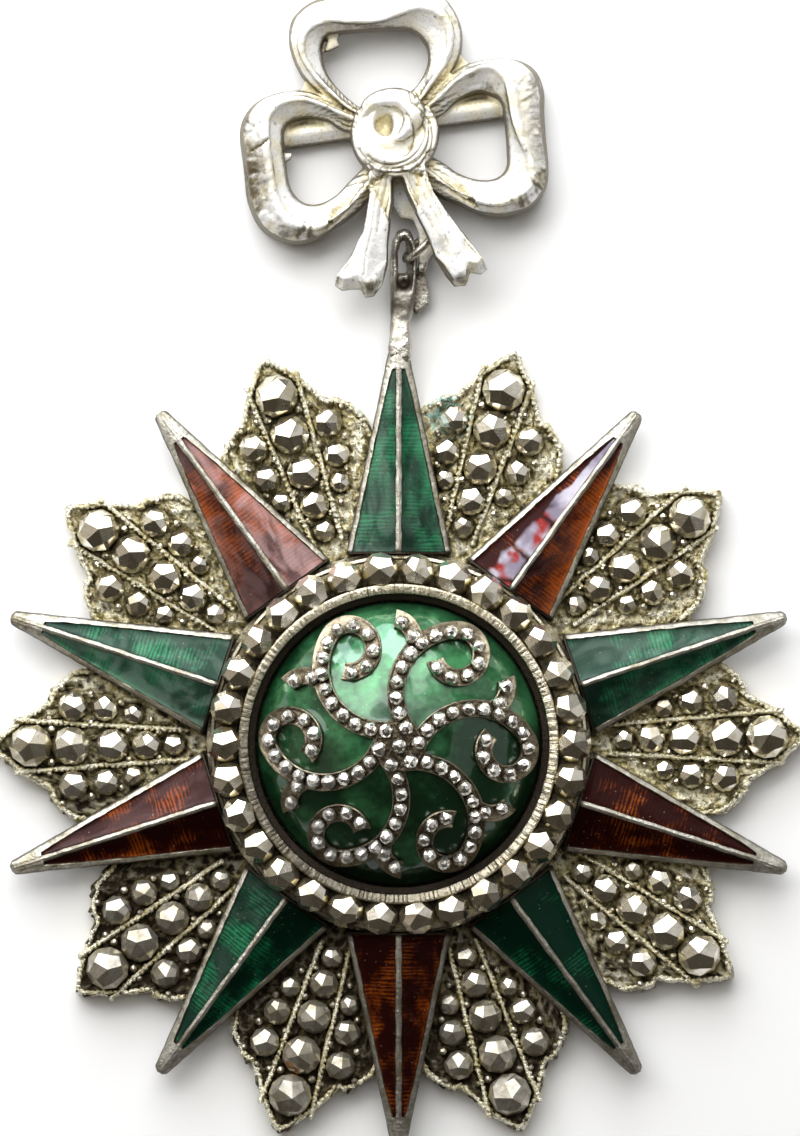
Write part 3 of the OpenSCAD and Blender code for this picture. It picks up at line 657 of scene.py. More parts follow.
def ray_enamel(name, deep, light, milk, chips=False):
    """Clear enamel fired over engine-turned silver: the cuts show through as fine lines across the ray."""
    material, tree = new_material(name)
    on_ray = add(tree, "ShaderNodeUVMap", uv_map="ray_mm")[0]
    here = add(tree, "ShaderNodeTexCoord")["Object"]
    # cuts about 0.3 mm apart, each a little uneven
    cuts = add(tree, "ShaderNodeMapping", {"Vector": on_ray, "Scale": (0.3, 1, 1)})[0]
    lines = add(tree, "ShaderNodeTexWave", {
        "Vector": cuts, "Scale": 1.05, "Distortion": 6.0, "Detail": 3.0, "Detail Scale": 1.6,
    }, bands_direction="Y")[1]
    drawn = add(tree, "ShaderNodeMapping", {"Vector": on_ray, "Scale": (0.8, 0.45, 1)})[0]
    streaks = add(tree, NOISE, {"Vector": drawn, "Scale": 1.3, "Detail": 4.0, "Distortion": 0.5})[0]
    broad = add(tree, NOISE, {"Vector": here, "Scale": 1 / (2.6 * MM), "Detail": 3.0})[0]
    fine = add(tree, NOISE, {"Vector": here, "Scale": 1 / (0.22 * MM), "Detail": 3.0})[0]
    clear = add(tree, RANGE, {0: broad, 1: 0.4, 2: 0.62}, **SMOOTH)[0]
    lines_seen = add(tree, MATH, {0: lines, 1: clear}, operation="MULTIPLY")[0]
    parts = ((lines_seen, 0.3), (streaks, 0.6), (broad, 0.6), (fine, 0.4))
    tone = enamel_tone(tree, parts, 0.65, 1.35, deep, light)
    # painted sheen: the reflection of a lamp laid on as a pale tint, broken into waves
    waves = add(tree, NOISE, {"Vector": drawn, "Scale": 0.55, "Detail": 2.0, "Distortion": 1.6})[0]
    waves = add(tree, RANGE, {0: waves, 1: 0.38, 2: 0.64, 3: 0.4, 4: 1.5}, **SMOOTH)[0]
    haze = add(tree, "ShaderNodeAttribute", attribute_name="haze")[2]
    haze = add(tree, MATH, {0: haze, 1: waves}, operation="MULTIPLY")[0]
    tone = add(tree, MIX, {0: haze, 6: tone, 7: srgb(milk)}, data_type="RGBA")[2]
    # without a chip, the metal is dimmed under the painted sheen
    lost = haze
    if chips:
        tone, lost = chipped(tree, tone, on_ray, broad)
    metal = add(tree, RANGE, {0: lost, 3: 0.5, 4: 0.0})[0]
    cut_bump = add(tree, BUMP, {"Strength": 0.1, "Distance": 0.05 * MM, "Height": lines})[0]
    skin_bump = add(tree, BUMP, {"Strength": 0.6, "Distance": 0.12 * MM, "Height": streaks})[0]
    shader = add(tree, PRINCIPLED, {
        "Base Color": flecked(tree, tone, 0.5, 0.09, 0.45, "#D6D8CC"),
        "Metallic": metal, "Roughness": 0.46, "Normal": cut_bump,
        "Specular IOR Level": 0.1, "Coat Weight": 0.05 if chips else 0.09, "Coat Roughness": 0.08,
        "Coat IOR": 1.5, "Coat Normal": skin_bump,
    })
    add(tree, "ShaderNodeOutputMaterial", {"Surface": shader[0]})
    return material


def dome_enamel(name, deep, light):
    """Clear green enamel on the domed medallion: cloudy where it was fired in several coats, and glossy."""
    material, tree = new_material(name)
    here = add(tree, "ShaderNodeTexCoord")["Object"]
    swirl = add(tree, NOISE, {
        "Vector": here, "Scale": 1 / (4.5 * MM), "Detail": 2.0, "Distortion": 0.5,
    })[0]
    fine = add(tree, NOISE, {"Vector": here, "Scale": 1 / (0.5 * MM), "Detail": 4.0})[0]
    tone = enamel_tone(tree, ((swirl, 1.0), (fine, 0.3)), 0.55, 1.05, deep, light)
    # painted shade: the glass goes nearly black where the strips, the beads and the rim stand close
    near = add(tree, "ShaderNodeAmbientOcclusion", {"Distance": 0.8 * MM}, samples=6)[1]
    near = add(tree, RANGE, {0: near, 1: 0.75, 2: 0.3}, **SMOOTH)[0]
    tone = add(tree, MIX, {0: near, 6: tone, 7: srgb("#05170B")}, data_type="RGBA")[2]
    bump = add(tree, BUMP, {"Strength": 0.3, "Distance": 0.08 * MM, "Height": fine})[0]
    shader = add(tree, PRINCIPLED, {
        "Base Color": flecked(tree, tone, 0.6, 0.08, 0.5, "#C9D8CC"),
        "Metallic": 0.7, "Roughness": 0.4, "Normal": bump,
        "Coat Weight": 1.0, "Coat Roughness": 0.05, "Coat IOR": 1.52,
    })
    add(tree, "ShaderNodeOutputMaterial", {"Surface": shader[0]})
    return material


def finish_of(key):
    """The material of that name, made the first time it is asked for."""
    name, make = MATERIALS[key]
    return bpy.data.materials.get(name) or make(name, bpy.context.scene.badge_colours)


VERDIGRIS, RUST, CREAM, MILK_RED = "#9ACCC2", "#7A4A14", "#EFEBDC", "#C9A5A2"
# each finish: its name, and how it is made from that name and the colours c
MATERIALS = {
    # cast silver left in the mould's skin: white specks on a yellow crust, black pits, green bloom at the top
    "plate": ("cast_silver_oxidised", lambda name, c: worn_silver(
        name, "#FFFDEE", "#C2B26E", "#2A200C", grain_mm=0.24, grain=1.0, relief=0.2, crust=0.8,
        rough=(0.24, 0.45), warm=0.75, metal=0.9, spots=[
            (VERDIGRIS, 3.7, 24.7, 2.0, 0.95), (VERDIGRIS, -3.7, 23.8, 0.7, 0.8),
            (VERDIGRIS, -2.7, 25.2, 0.8, 0.5), (VERDIGRIS, 4.2, 16.8, 0.6, 0.6),
            (VERDIGRIS, -16.6, 5.0, 0.6, 0.5),
        ],
    )),
    # facets cut and rubbed by hand: mirror-like, with a brown film in their corners
    "studs": ("cut_silver_facets", lambda name, c: worn_silver(
        name, "#F2EDE0", "#A69A70", "#3A301D", reach=0.6, grain_mm=0.6, grain=0.15, relief=0.01, crust=0.06,
        rough=(0.2, 0.4), warm=0.6, steep=(0.6, 0.1, 0.4),
        spots=[(RUST, -8.3, -24.6, 0.9, 0.9), (VERDIGRIS, 3.2, 24.4, 0.8, 0.55)],
    )),
    # stud bed and milled rim: bright on top, brown where the thumb never reached
    "ring": ("milled_silver", lambda name, c: worn_silver(
        name, "#F0E8D2", "#AC9E76", "#2E2519", grain_mm=0.25, grain=0.8, relief=0.1, crust=0.5,
        rough=(0.26, 0.45), warm=0.45, steep=(0.9, 0.3, 0.75),
    )),
    # filed edges of the ray star: dull grey-white tops with black scratches, dark flanks
    "frame": ("filed_silver", lambda name, c: worn_silver(
        name, "#E9E5D8", "#968C6C", "#2C2416", grain_mm=0.3, grain=0.9, relief=0.12, crust=0.55,
        rough=(0.28, 0.45), warm=0.75, steep=(0.85, 0.5, 0.9),
    )),
    # cast bow, pickled and burnished: frosty white, cream in its folds and brown down its walls
    "bow": ("burnished_silver", lambda name, c: worn_silver(
        name, "#FFFFFE", "#EFE2B2", "#5C5137", reach=1.2, grain_mm=0.22, grain=0.6, relief=0.06, crust=0.2,
        rough=(0.3, 0.5), warm=0.6, steep=(0.9, 0.3, 0.7), metal=0.3,
    )),
    # hollow strips under the beads: dark brown, with rubbed edges
    "strips": ("bronzed_silver_strip", lambda name, c: worn_silver(
        name, "#B5AA92", "#574B3B", "#1D1710", reach=0.9, grain_mm=0.25, grain=0.6, relief=0.08, crust=0.5,
        warm=0.9, steep=(0.5, 0.1, 0.6),
    )),
    # cast beads, rubbed bright all over
    "beads": ("silver_beads", lambda name, c: worn_silver(
        name, "#FFFDF8", "#C6BDAC", "#463A2B", reach=0.4, grain_mm=0.4, relief=0.03, crust=0.15,
        rough=(0.2, 0.42),
    )),
    # bail and wire: silver gone the brown of bronze, with a pale crust where it joins the ray
    "bronze": ("brown_tarnished_silver", lambda name, c: worn_silver(
        name, "#CFCBC0", "#6B604C", "#2A2013", grain_mm=0.22, grain=0.7, relief=0.06, crust=0.45,
        rough=(0.24, 0.42), warm=0.9, steep=(0.7, 0.1, 0.5), spots=[(CREAM, -0.1, 30.9, 0.7, 0.6)],
    )),
    # glass that lets the silver through where it is thin, with a pale painted sheen where a lamp's reflection
    # is painted on it
    "green": ("green_enamel_on_engraved_silver", lambda name, c: ray_enamel(
        name, c.green_deep, c.green_light, "#A9C2B2",
    )),
    "red": ("red_enamel_on_engraved_silver", lambda name, c: ray_enamel(
        name, c.red_deep, c.red_light, MILK_RED,
    )),
    # one cell has lost its top coat: grey and dull red broken glass with dark cracks
    "chipped": ("chipped_red_enamel", lambda name, c: ray_enamel(
        name, c.red_deep, c.red_light, MILK_RED, chips=True,
    )),
    # the thickest and glossiest glass, cloudy green, with painted shade that makes it nearly black beside the
    # strips and the rim
    "dome": ("green_enamel_on_dome", lambda name, c: dome_enamel(name, c.dome_deep, c.dome_light)),
}


# star


def lobe_edge(degrees):
    """Radius of the plate's edge at an angle off a lobe's axis."""
    table = np.array(LOBE)
    return np.interp(abs(degrees), table[:, 0], table[:, 1])


def lobe_axis(lobe):
    """Direction of a lobe, in degrees from the X axis."""
    return 90 - (lobe + 0.5) * PITCH - LOBE_TURN[lobe]


def plate_body():
    """Shell of the lobed plate, one row round its section for each direction, and how dark each point is."""
    columns, shares = 84, np.linspace(0, 1, 74)
    rows = []
    for lobe in range(RAYS):
        for k in range(columns):
            off = (k / columns - 0.5) * PITCH
            ragged = noise.noise(Vector((lobe * 9.1, off * 1.3, 0.0))) * 0.55 - 0.12
            edge = min(EDGE_MOST, lobe_edge(off) + ragged * min(1, 0.3 + abs(off) / 2))
            # the lobes meet in their even places, under the rays
            turn = LOBE_TURN[lobe] * (1 - (off / (PITCH / 2)) ** 4)
            a = math.radians(90 - (lobe + 0.5) * PITCH - off - turn)
            skin_r = FLAT_R + (edge - FLAT_R) * shares
            side = edge - skin_r
            # a low lip along the free part of the edge
            lip = 0.2 * np.exp(-((side - 0.25) / 0.2) ** 2) if abs(off) < 14 else 0 * side
            r = np.r_[POST_R, 7.0, skin_r, edge, edge - 0.02, edge - 0.1, 8.0, POST_R]
            z = np.r_[PLATE_T, PLATE_T, PLATE_T - 0.04 + lip, PLATE_T - 0.25, 0.12, 0.0, 0.0, 0.0]
            rows.append(np.c_[r * math.cos(a), r * math.sin(a), z])
    points, faces = skin(rows, rings=True)
    top = (points[:, 2] > 1.3) & (np.hypot(points[:, 0], points[:, 1]) > 13.5)
    crust = wobble(points[top], 0.5, 0.34) + wobble(points[top], 0.24, 0.14, 2.0)
    points[top, 2] += crust + wobble(points[top], 1.3, 0.2, 5.0)
    mark = np.zeros(len(points))
    # black in the crust's low pits, and painted shade towards the left and below
    mark[top] = np.clip(-3.6 * crust, 0, 0.6) + 0.75 * tarnish(points[top])
    # a sunk dark line round the foot of each stud
    for lobe in range(RAYS):
        a = math.radians(lobe_axis(lobe))
        for x, r, d in STUDS:
            at = (r * math.cos(a) + x * math.sin(a), r * math.sin(a) - x * math.cos(a))
            away = np.hypot(points[:, 0] - at[0], points[:, 1] - at[1]) - STUD_GROW * d / 2
            points[:, 2] -= np.where(top, 0.2 * np.exp(-((away - 0.05) / 0.13) ** 2), 0)
            shade = 0.6 * np.exp(-(np.maximum(away - 0.02, 0) / 0.09) ** 2)
            mark = np.maximum(mark, np.where(top, shade, 0))
    return (points, faces), mark


def tarnish(points, across=0.4):
    """Painted shade: how much darker silver is made towards the left and below, where less light falls, from
    0 to 1; across is the left's share.
    """
    return np.clip((4 - points[:, 1] - across * points[:, 0]) / 24, 0, 1)


def stud_shape(name, seed, sides):
    """Hand-cut stud of unit size: steep foot, girdle, a row of small facets and broad kites up to its top."""
    draw = np.random.default_rng(seed)
    count = 2 * sides
    a = (np.arange(count) + draw.uniform(-0.14, 0.14, count)) * math.pi / sides
    even = np.arange(0, count, 2)
    girdle, inner = np.zeros((count, 3)), np.zeros((count, 3))
    girdle[:, 2] = 0.36 + draw.uniform(-0.05, 0.05, count)
    inner[:, 2] = 0.75 + draw.uniform(-0.04, 0.04, count)
    reach = np.where(np.arange(count) % 2 == 1, 0.42, 0.34) * draw.uniform(0.94, 1.06, count)
    for ring, r in ((girdle, 0.5), (inner, reach)):
        ring[:, 0], ring[:, 1] = r * np.cos(a), r * np.sin(a)
    top = np.array([*draw.uniform(-0.06, 0.06, 2), 1.0])
    # the far corner of each kite lies in the plane of its other three
    for k in even:
        left, far, right = inner[k], inner[k + 1], inner[(k + 2) % count]
        level = np.cross(left - top, right - top)
        far[2] = top[2] - (level[:2] @ (far[:2] - top[:2])) / level[2]
    foot = np.c_[girdle[:, :2] * 0.92, np.zeros(count)]
    faces = [tuple(range(count))[::-1]]
    for k in range(count):
        n = (k + 1) % count
        faces += [(k, n, count + n, count + k), (count + k, count + n, 2 * count + n, 2 * count + k)]
    last = 2 * count
    faces += [(last + k, last + k + 1, last + (k + 2) % count, last + count) for k in even.tolist()]
    return solid(name, [(np.vstack([foot, girdle, inner, top[None]]) / MM, faces)], smooth=False)


def stud_shapes():
    """Collection with a few cuts of the same stud."""
    group = bpy.data.collections.new("stud_cuts")
    for i in range(STUD_CUTS):
        shape = stud_shape(f"stud_cut_{i}", 20 + i, 5 + i % 2)
        bpy.context.scene.collection.objects.unlink(shape)
        group.objects.link(shape)
    bpy.context.scene.collection.children.link(group)
    return group


def drop_group(group):
    """Removes a collection of shapes that were only instanced."""
    for shape in list(group.objects):
        bpy.data.objects.remove(shape)
    bpy.data.collections.remove(group)


def stud_tree():
    """Puts one of the cuts of a stud on every point, turned and leaning a little by chance."""
    inputs = [("Cuts", "Collection"), ("Last cut", "Int"), ("Tilt", "Float"), ("Seed", "Int")]
    tree, given = grow_tree("Studs", inputs)
    cuts = add(tree, "GeometryNodeCollectionInfo", {
        "Collection": given["Cuts"], "Separate Children": True, "Reset Children": True,
    })[0]
    lean = add(tree, COMBINE, {0: given["Tilt"], 1: given["Tilt"], 2: math.pi})[0]
    back = add(tree, VECTOR, {0: lean, 3: -1.0}, operation="SCALE")[0]
    chance = {"data_type": "FLOAT_VECTOR"}
    random = add(tree, "FunctionNodeRandomValue", {0: back, 1: lean, 8: given["Seed"]}, **chance)[0]
    size = add(tree, "GeometryNodeInputNamedAttribute", {"Name": "size"}, **chance)[0]
    which = {5: given["Last cut"], 8: given["Seed"]}
    which = add(tree, "FunctionNodeRandomValue", which, data_type="INT")[2]
    grown = add(tree, "GeometryNodeInstanceOnPoints", {
        "Points": given["Geometry"], "Instance": cuts, "Pick Instance": True, "Instance Index": which,
        "Rotation": random, "Scale": size,
    })[0]
    return finish_tree(tree, grown, given)


def set_studs(name, spots, seed, dark):
    """Object with a cut stud on each of the spots: place, width and height in millimetres."""
    sizes = bpy.context.scene.badge_sizes
    # dark is how much painted shade the studs take towards the left and below
    points = cloud(name, spots[:, :3], size=spots[:, [3, 3, 4]] * MM, mark=dark * tarnish(spots))
    group = stud_shapes()
    grow(points, stud_tree(), {
        "Cuts": group, "Last cut": STUD_CUTS - 1, "Tilt": sizes.stud_tilt, "Seed": sizes.seed + seed,
        "Material": finish_of("studs"),
    })
    drop_group(group)
    return points


def rope_tree():
    """Twisted rope along lines: a round core with slanted strands on it, broken up by the casting's crust."""
    tree, given = grow_tree("Rope edge", [("Pitch", "Float"), ("Thickness", "Float"), ("Slant", "Float")])
    line = add(tree, "GeometryNodeMeshToCurve", {"Mesh": given["Geometry"]})[0]
    core = add(tree, "GeometryNodeCurvePrimitiveCircle", {"Resolution": 6, "Radius": 1.0})[0]
    third = add(tree, MATH, {0: given["Thickness"], 1: 0.36}, operation="MULTIPLY")[0]
    third = add(tree, COMBINE, {0: third, 1: third, 2: third})[0]
    core = add(tree, "GeometryNodeTransform", {"Geometry": core, "Scale": third})[0]
    tube = add(tree, "GeometryNodeCurveToMesh", {"Curve": line, "Profile Curve": core, "Fill Caps": True})[0]
    stops = add(tree, "GeometryNodeCurveToPoints", {"Curve": line, "Length": given["Pitch"]}, mode="LENGTH")
    strand = add(tree, "GeometryNodeMeshIcoSphere", {"Radius": 0.5, "Subdivisions": 1})[0]
    wide = add(tree, MATH, {0: given["Thickness"], 1: 1.2}, operation="MULTIPLY")[0]
    slim = add(tree, MATH, {0: given["Pitch"], 1: 0.8}, operation="MULTIPLY")[0]
    slant = add(tree, COMBINE, {0: given["Slant"], 1: given["Slant"]})[0]
    slant = add(tree, "FunctionNodeRotateRotation", {
        "Rotation": stops["Rotation"], "Rotate By": slant,
    }, rotation_space="LOCAL")[0]
    grown = add(tree, "GeometryNodeInstanceOnPoints", {
        "Points": stops[0], "Instance": strand, "Rotation": slant,
        "Scale": add(tree, COMBINE, {0: wide, 1: wide, 2: slim})[0],
    })[0]
    strands = add(tree, "GeometryNodeRealizeInstances", {"Geometry": grown})[0]
    both = add(tree, "GeometryNodeJoinGeometry", {0: tube})[0]
    tree.links.new(strands, both.node.inputs[0])
    moved = uneven(tree, both, 1 / (0.6 * MM), 2.0, 0.45 * MM)
    soft = add(tree, "GeometryNodeSetShadeSmooth", {"Geometry": moved, "Shade Smooth": True})[0]
    return finish_tree(tree, soft, given)


def rope_lines():
    """Object whose edges are the ropes: two dividers on each lobe, and the lobe's edge."""
    points, edges = [], []
    for lobe in range(RAYS):
        axis = lobe_axis(lobe)
        runs = [
            [(axis + off, r, 0.14) for r in np.linspace(DIVIDER_FROM, DIVIDER_TO, 16)]
            for off in (-DIVIDER_OFF, DIVIDER_OFF)
        ]
        along = np.linspace(-EDGE_ROPE_OFF, EDGE_ROPE_OFF, 60)
        runs.append([(axis + off, lobe_edge(off) - EDGE_ROPE_IN, 0.06) for off in along])
        for run in runs:
            start = len(points)
            for a, r, up in run:
                a = math.radians(a)
                points.append((r * math.cos(a), r * math.sin(a), PLATE_T + up))
            edges += [(start + i, start + i + 1) for i in range(len(run) - 1)]
    return stand("rope_lines", mesh_of("rope_lines", points, edges=edges))


class BADGE_OT_star_plate(Operator):
    """Cast plate with its ten lobes, roped edges and dividers"""

    bl_idname = "badge.star_plate"
    bl_label = "Star plate"

    def execute(self, context):
        sizes = context.scene.badge_sizes
        shell, mark = plate_body()
        body = solid("plate_body", [shell], crease=50)
        note(body, "mark", mark)
        body.data.materials.append(finish_of("plate"))
        rope = grow(rope_lines(), rope_tree(), {
            "Pitch": sizes.rope_pitch, "Thickness": ROPE_THICK * MM, "Slant": ROPE_SLANT,
            "Material": finish_of("plate"),
        })
        place(join("star_plate_cast", [body, rope]), "oxidised_silver", None, "star_plate")
        return {"FINISHED"}


class BADGE_OT_plate_studs(Operator):
    """Faceted studs and small grains on the ten lobes"""

    bl_idname = "badge.plate_studs"
    bl_label = "Plate studs"

    def execute(self, context):
        # place, width and height of each stud, then of each grain and its twin
        lobe = [(x, r, PLATE_T - 0.2, d * STUD_GROW, 0.4 + 0.5 * d) for x, r, d in STUDS]
        for x, r, d in GRAINS:
            lobe += [(side * x, r, PLATE_T - 0.06, 1.25 * d, 0.2 + 0.7 * d) for side in (-1, 1)]
        lobe = np.array(lobe)
        turns = [lobe_axis(i) - 90 for i in range(RAYS)]
        spots = np.vstack([np.c_[turned(lobe[:, :3], turn), lobe[:, 3:]] for turn in turns])
        place(set_studs("star_plate_studs", spots, 0, 0.5), "oxidised_silver", None, "star_plate")
        return {"FINISHED"}


def ray_half(r):
    """Half width of a ray at a radius."""
    return HALF_IN + (HALF_OUT - HALF_IN) * (r - RAY_IN) / (STAR_R - RAY_IN)


def ray_edge(r):
    """Height of a ray's edge at a radius."""
    return PLATE_T + EDGE_IN + (EDGE_OUT - EDGE_IN) * (r - RAY_IN) / (STAR_R - RAY_IN)


def slope_top(edge_up, half, x):
    """Height of a slope that rises from an edge towards the ridge."""
    return edge_up + SLOPE * (half - x)


def ray_top(x, r):
    """Height of a ray's surface at a place on it."""
    return slope_top(ray_edge(r), ray_half(r), abs(x))


def cell_reach(ridge, border):
    """Radii between which a ray's cells run."""
    first = RAY_IN + 0.15
    last = STAR_R - (ridge + border + 0.35 - HALF_OUT) * (STAR_R - RAY_IN) / (HALF_IN - HALF_OUT)
    return first, last


def cell_edge(r, border):
    """How far from the ray's axis its cells end: the border widens into the tip."""
    return ray_half(r) - border - 0.2 * max(0, (r - 24.5) / 4.5) ** 2


def ray_frame(ridge, border):
    """Shell of one upright ray: border, ridge and the two sunk cells between them."""
    first, last = cell_reach(ridge, border)
    radii = [
        RAY_IN, first - 0.06, first - 0.01, first + 0.01, *np.linspace(first + 0.3, last - 0.3, 40),
        last - 0.01, last + 0.01, last + 0.1, *np.linspace(last + 0.3, 30.7, 5),
        30.82, 30.91, 30.97, STAR_R,
    ]
    rows = []
    for r in radii:
        # the last tenths of a millimetre round off into the tip
        narrow = math.sqrt(max(0.2, 1 - max(0, (r - TIP_FROM) / TIP_LONG) ** 2))
        half = ray_half(r) * narrow
        inner = min(ridge, half * 0.4)
        outer = max(cell_edge(r, border), inner + 0.07)
        in_cell = first <= r <= last
        sunk = CELL_DEEP if in_cell else 0.05
        up = ray_edge(r) - 0.25 * (1 - narrow)
        bevel = half - min(0.12, (half - outer) / 2)
        foot = [(half, STAR_Z), (half, up - 0.3), (half - 0.03, up - 0.12)]
        # places across the slope, and how far below it: bevel, border, cell and ridge
        slope = [
            (bevel, bevel, 0.03), (outer + 0.08, outer + 0.08, 0.0), (outer, outer, 0.1),
            (outer - 0.01, outer, sunk), (inner + 0.01, inner, sunk), (inner, inner, 0.06),
            (inner - 0.06 * min(1, half * 2), inner, 0.01),
        ]
        side = foot + [(x, slope_top(up, half, at) - drop) for x, at, drop in slope]
        if not in_cell:
            side[4:9] = [(x, slope_top(up, half, x)) for x, _ in side[4:9]]
        full = side + [(0.0, slope_top(up, half, 0) - 0.045)] + [(-x, z) for x, z in side[::-1]]
        rows.append([(x, r, z) for x, z in full])
    return skin(rows)


def copies_tree():
    """Copies a shape round the centre, then makes every copy a little uneven, as filed by hand."""
    inputs = [("Count", "Int"), ("Unevenness", "Float"), ("Grain", "Float")]
    tree, given = grow_tree("Ray copies", inputs)
    single = add(tree, "GeometryNodeGeometryToInstance", {0: given["Geometry"]})[0]
    copies = add(tree, "GeometryNodeDuplicateElements", {
        "Geometry": single, "Amount": given["Count"],
    }, domain="INSTANCE")
    step = add(tree, MATH, {0: -2 * math.pi, 1: given["Count"]}, operation="DIVIDE")[0]
    angle = add(tree, MATH, {0: copies[1], 1: step}, operation="MULTIPLY")[0]
    spun = add(tree, "GeometryNodeRotateInstances", {
        "Instances": copies[0], "Rotation": add(tree, COMBINE, {2: angle})[0],
    })[0]
    real = add(tree, "GeometryNodeRealizeInstances", {"Geometry": spun})[0]
    scale = add(tree, MATH, {0: 1.0, 1: given["Grain"]}, operation="DIVIDE")[0]
    return finish_tree(tree, uneven(tree, real, scale, 2.0, given["Unevenness"]), given)


def voxeled(name, shells, size, rounds=2, holes=()):
    """One closed skin over shells that overlap, less the holes, its steps smoothed away."""
    made = solid(name, shells, merge=0.001)
    for cutter in holes:
        cut = made.modifiers.new("hole", "BOOLEAN")
        cut.operation, cut.solver, cut.object = "DIFFERENCE", "EXACT", cutter
        cut.use_self = True
    wrap = made.modifiers.new("wrap", "REMESH")
    wrap.mode, wrap.voxel_size, wrap.use_smooth_shade = "VOXEL", size, True
    soft = made.modifiers.new("soft", "SMOOTH")
    soft.factor, soft.iterations = 0.5, rounds
    settle(made)
    for cutter in holes:
        bpy.data.objects.remove(cutter)
    return made


def weather_bail(mesh):
    """Uneven skin of the bail with one dent in its slot; gives how dark each point is."""
    points, normals = points_of(mesh)
    x, y, size = BAIL_DENT
    dent = np.exp(-(np.hypot(points[:, 0] - x, points[:, 1] - y) / size) ** 2) * (normals[:, 2] > 0)
    move_points(mesh, points + normals * (wobble(points, 0.55, 0.06) - 0.3 * dent)[:, None])
    return 1.2 * dent + 0.6 * np.exp(-((points[:, 1] - 33.4) / 1.6) ** 2)


def boxy(wave):
    """Sine or cosine round a section that is squarer than a circle."""
    return np.sign(wave) * np.abs(wave) ** 0.75


def bail_shells():
    """Shells of the bail: a rounded loop on a neck that grows out of the top ray."""
    rows = []
    for (ox, oy), (sx, sy) in zip(BAIL_OUT, BAIL_SLOT):
        # the slot was drilled at a slant: its right wall runs in under the front
        bx, by = min(sx, 0.5), max(sy, 35.9)
        section = [(ox, oy, 1.75), (ox + (sx - ox) * 0.12, oy + (sy - oy) * 0.12, 2.05)]
        for t in (0.35, 0.65, 0.9):
            section.append((ox + (sx - ox) * t, oy + (sy - oy) * t, 2.05 + 0.2 * math.sin(math.pi * t)))
        section += [(sx, sy, 2.02), ((sx + bx) / 2, (sy + by) / 2, 1.6), (bx, by, 1.15), (ox, oy, 1.15)]
        rows.append(section)
    ring = np.linspace(0, 2 * math.pi, 14, endpoint=False)
    wide, high = boxy(np.cos(ring)), boxy(np.sin(ring))
    neck = [
        np.c_[x + half * wide, np.full(14, y), (low + top) / 2 + (top - low) / 2 * high]
        for x, y, half, low, top in BAIL_NECK
    ]
    return [skin(rows, rings=True), skin(neck)]


def ray_marks(points):
    """How dark each point of the rays is: painted shade low on the star and towards its right, a painted
    shadow line at the boss, and darker ridges.
    """
    out, pitch = np.hypot(points[:, 0], points[:, 1]), math.radians(PITCH)
    turn = np.arctan2(points[:, 0], points[:, 1])
    turn -= pitch * np.round(turn / pitch)
    # a painted shadow line where the rays meet the boss
    inner = 0.9 * (out * np.cos(turn) < RAY_IN + 0.3)
    ridge = 0.4 * (np.abs(out * np.sin(turn)) < 0.3)
    # painted shade on the rays at the right of the star
    right = 0.45 * np.clip((points[:, 0] - 11) / 8, 0, 1)
    # painted shade towards the bottom and the right
    return np.maximum.reduce([0.6 * tarnish(points, -0.3), inner, ridge, right])


class BADGE_OT_ray_star(Operator):
    """Silver star of ten rays that holds the enamel, with its bail"""

    bl_idname = "badge.ray_star"
    bl_label = "Ray star"

    def execute(self, context):
        sizes = context.scene.badge_sizes
        ray = solid("ray", [ray_frame(sizes.ray_ridge / MM, sizes.ray_border / MM)], crease=38)
        grow(ray, copies_tree(), {
            "Count": RAYS, "Unevenness": 0.2 * MM, "Grain": 0.8 * MM, "Material": finish_of("frame"),
        })
        note(ray, "mark", ray_marks(points_of(ray.data)[0]))
        disc = solid("flange", [lathe([
            (POST_R, STAR_Z), (FLANGE_R, STAR_Z), (FLANGE_R, SEAT_Z - 0.05), (FLANGE_R - 0.05, SEAT_Z),
            (POST_R, SEAT_Z),
        ], 120)], crease=30)
        bail = voxeled("bail", bail_shells(), 0.08 * MM, rounds=6)
        note(bail, "mark", weather_bail(bail.data))
        disc.data.materials.append(finish_of("frame"))
        bail.data.materials.append(finish_of("bronze"))
        place(join("ray_star_frame", [ray, disc, bail]), "frame_silver", None, "ray_star")
        return {"FINISHED"}


def lathe(profile, steps, bend=None):
    """Shell of an outline of radius and height turned round the centre; bend may move a row's points."""
    flat = np.array(profile, float)
    rows = []
    for i in range(steps):
        a = 2 * math.pi * i / steps
        now = flat if bend is None else bend(flat.copy(), i)
        rows.append(np.c_[now[:, 0] * math.cos(a), now[:, 0] * math.sin(a), now[:, 1]])
    return skin(rows, rings=True)


# enamel of each ray's left and right cell: how thin it is, so how much silver shines through, with painted
# light that makes the upper rays lighter and the lower right darker; how much more so along its border; and
# how much painted lamp sheen lies on it
CELLS = [
    ((-0.02, 0.0, 0.1), (0.02, 0.1, 0.06)), ((-0.2, -0.1, 0.0), (-0.04, 0.3, 0.04)),
    ((-0.14, 0.0, 0.07), (0.0, 0.0, 0.04)), ((-0.26, 0.0, 0.0), (-0.27, 0.1, 0.0)),
    ((-0.38, 0.0, 0.0), (-0.22, 0.0, 0.0)), ((-0.14, 0.1, 0.0), (-0.18, 0.1, 0.0)),
    ((-0.1, 0.0, 0.0), (-0.16, 0.0, 0.03)), ((-0.26, 0.1, 0.0), (-0.2, 0.0, 0.03)),
    ((0.1, 0.0, 0.2), (-0.2, 0.0, 0.06)), ((-0.08, 0.1, 0.12), (-0.06, 0.15, 0.32)),
]
# how much more silver shines through in the middle of a cell's length than at its two ends
GLOW = 0.22
CHIPPED_CELL = "ray_enamel_02_left"


def cell_name(ray, side):
    """Name of one enamel cell of the frame."""
    return f"ray_enamel_{ray + 1:02d}_{side}"


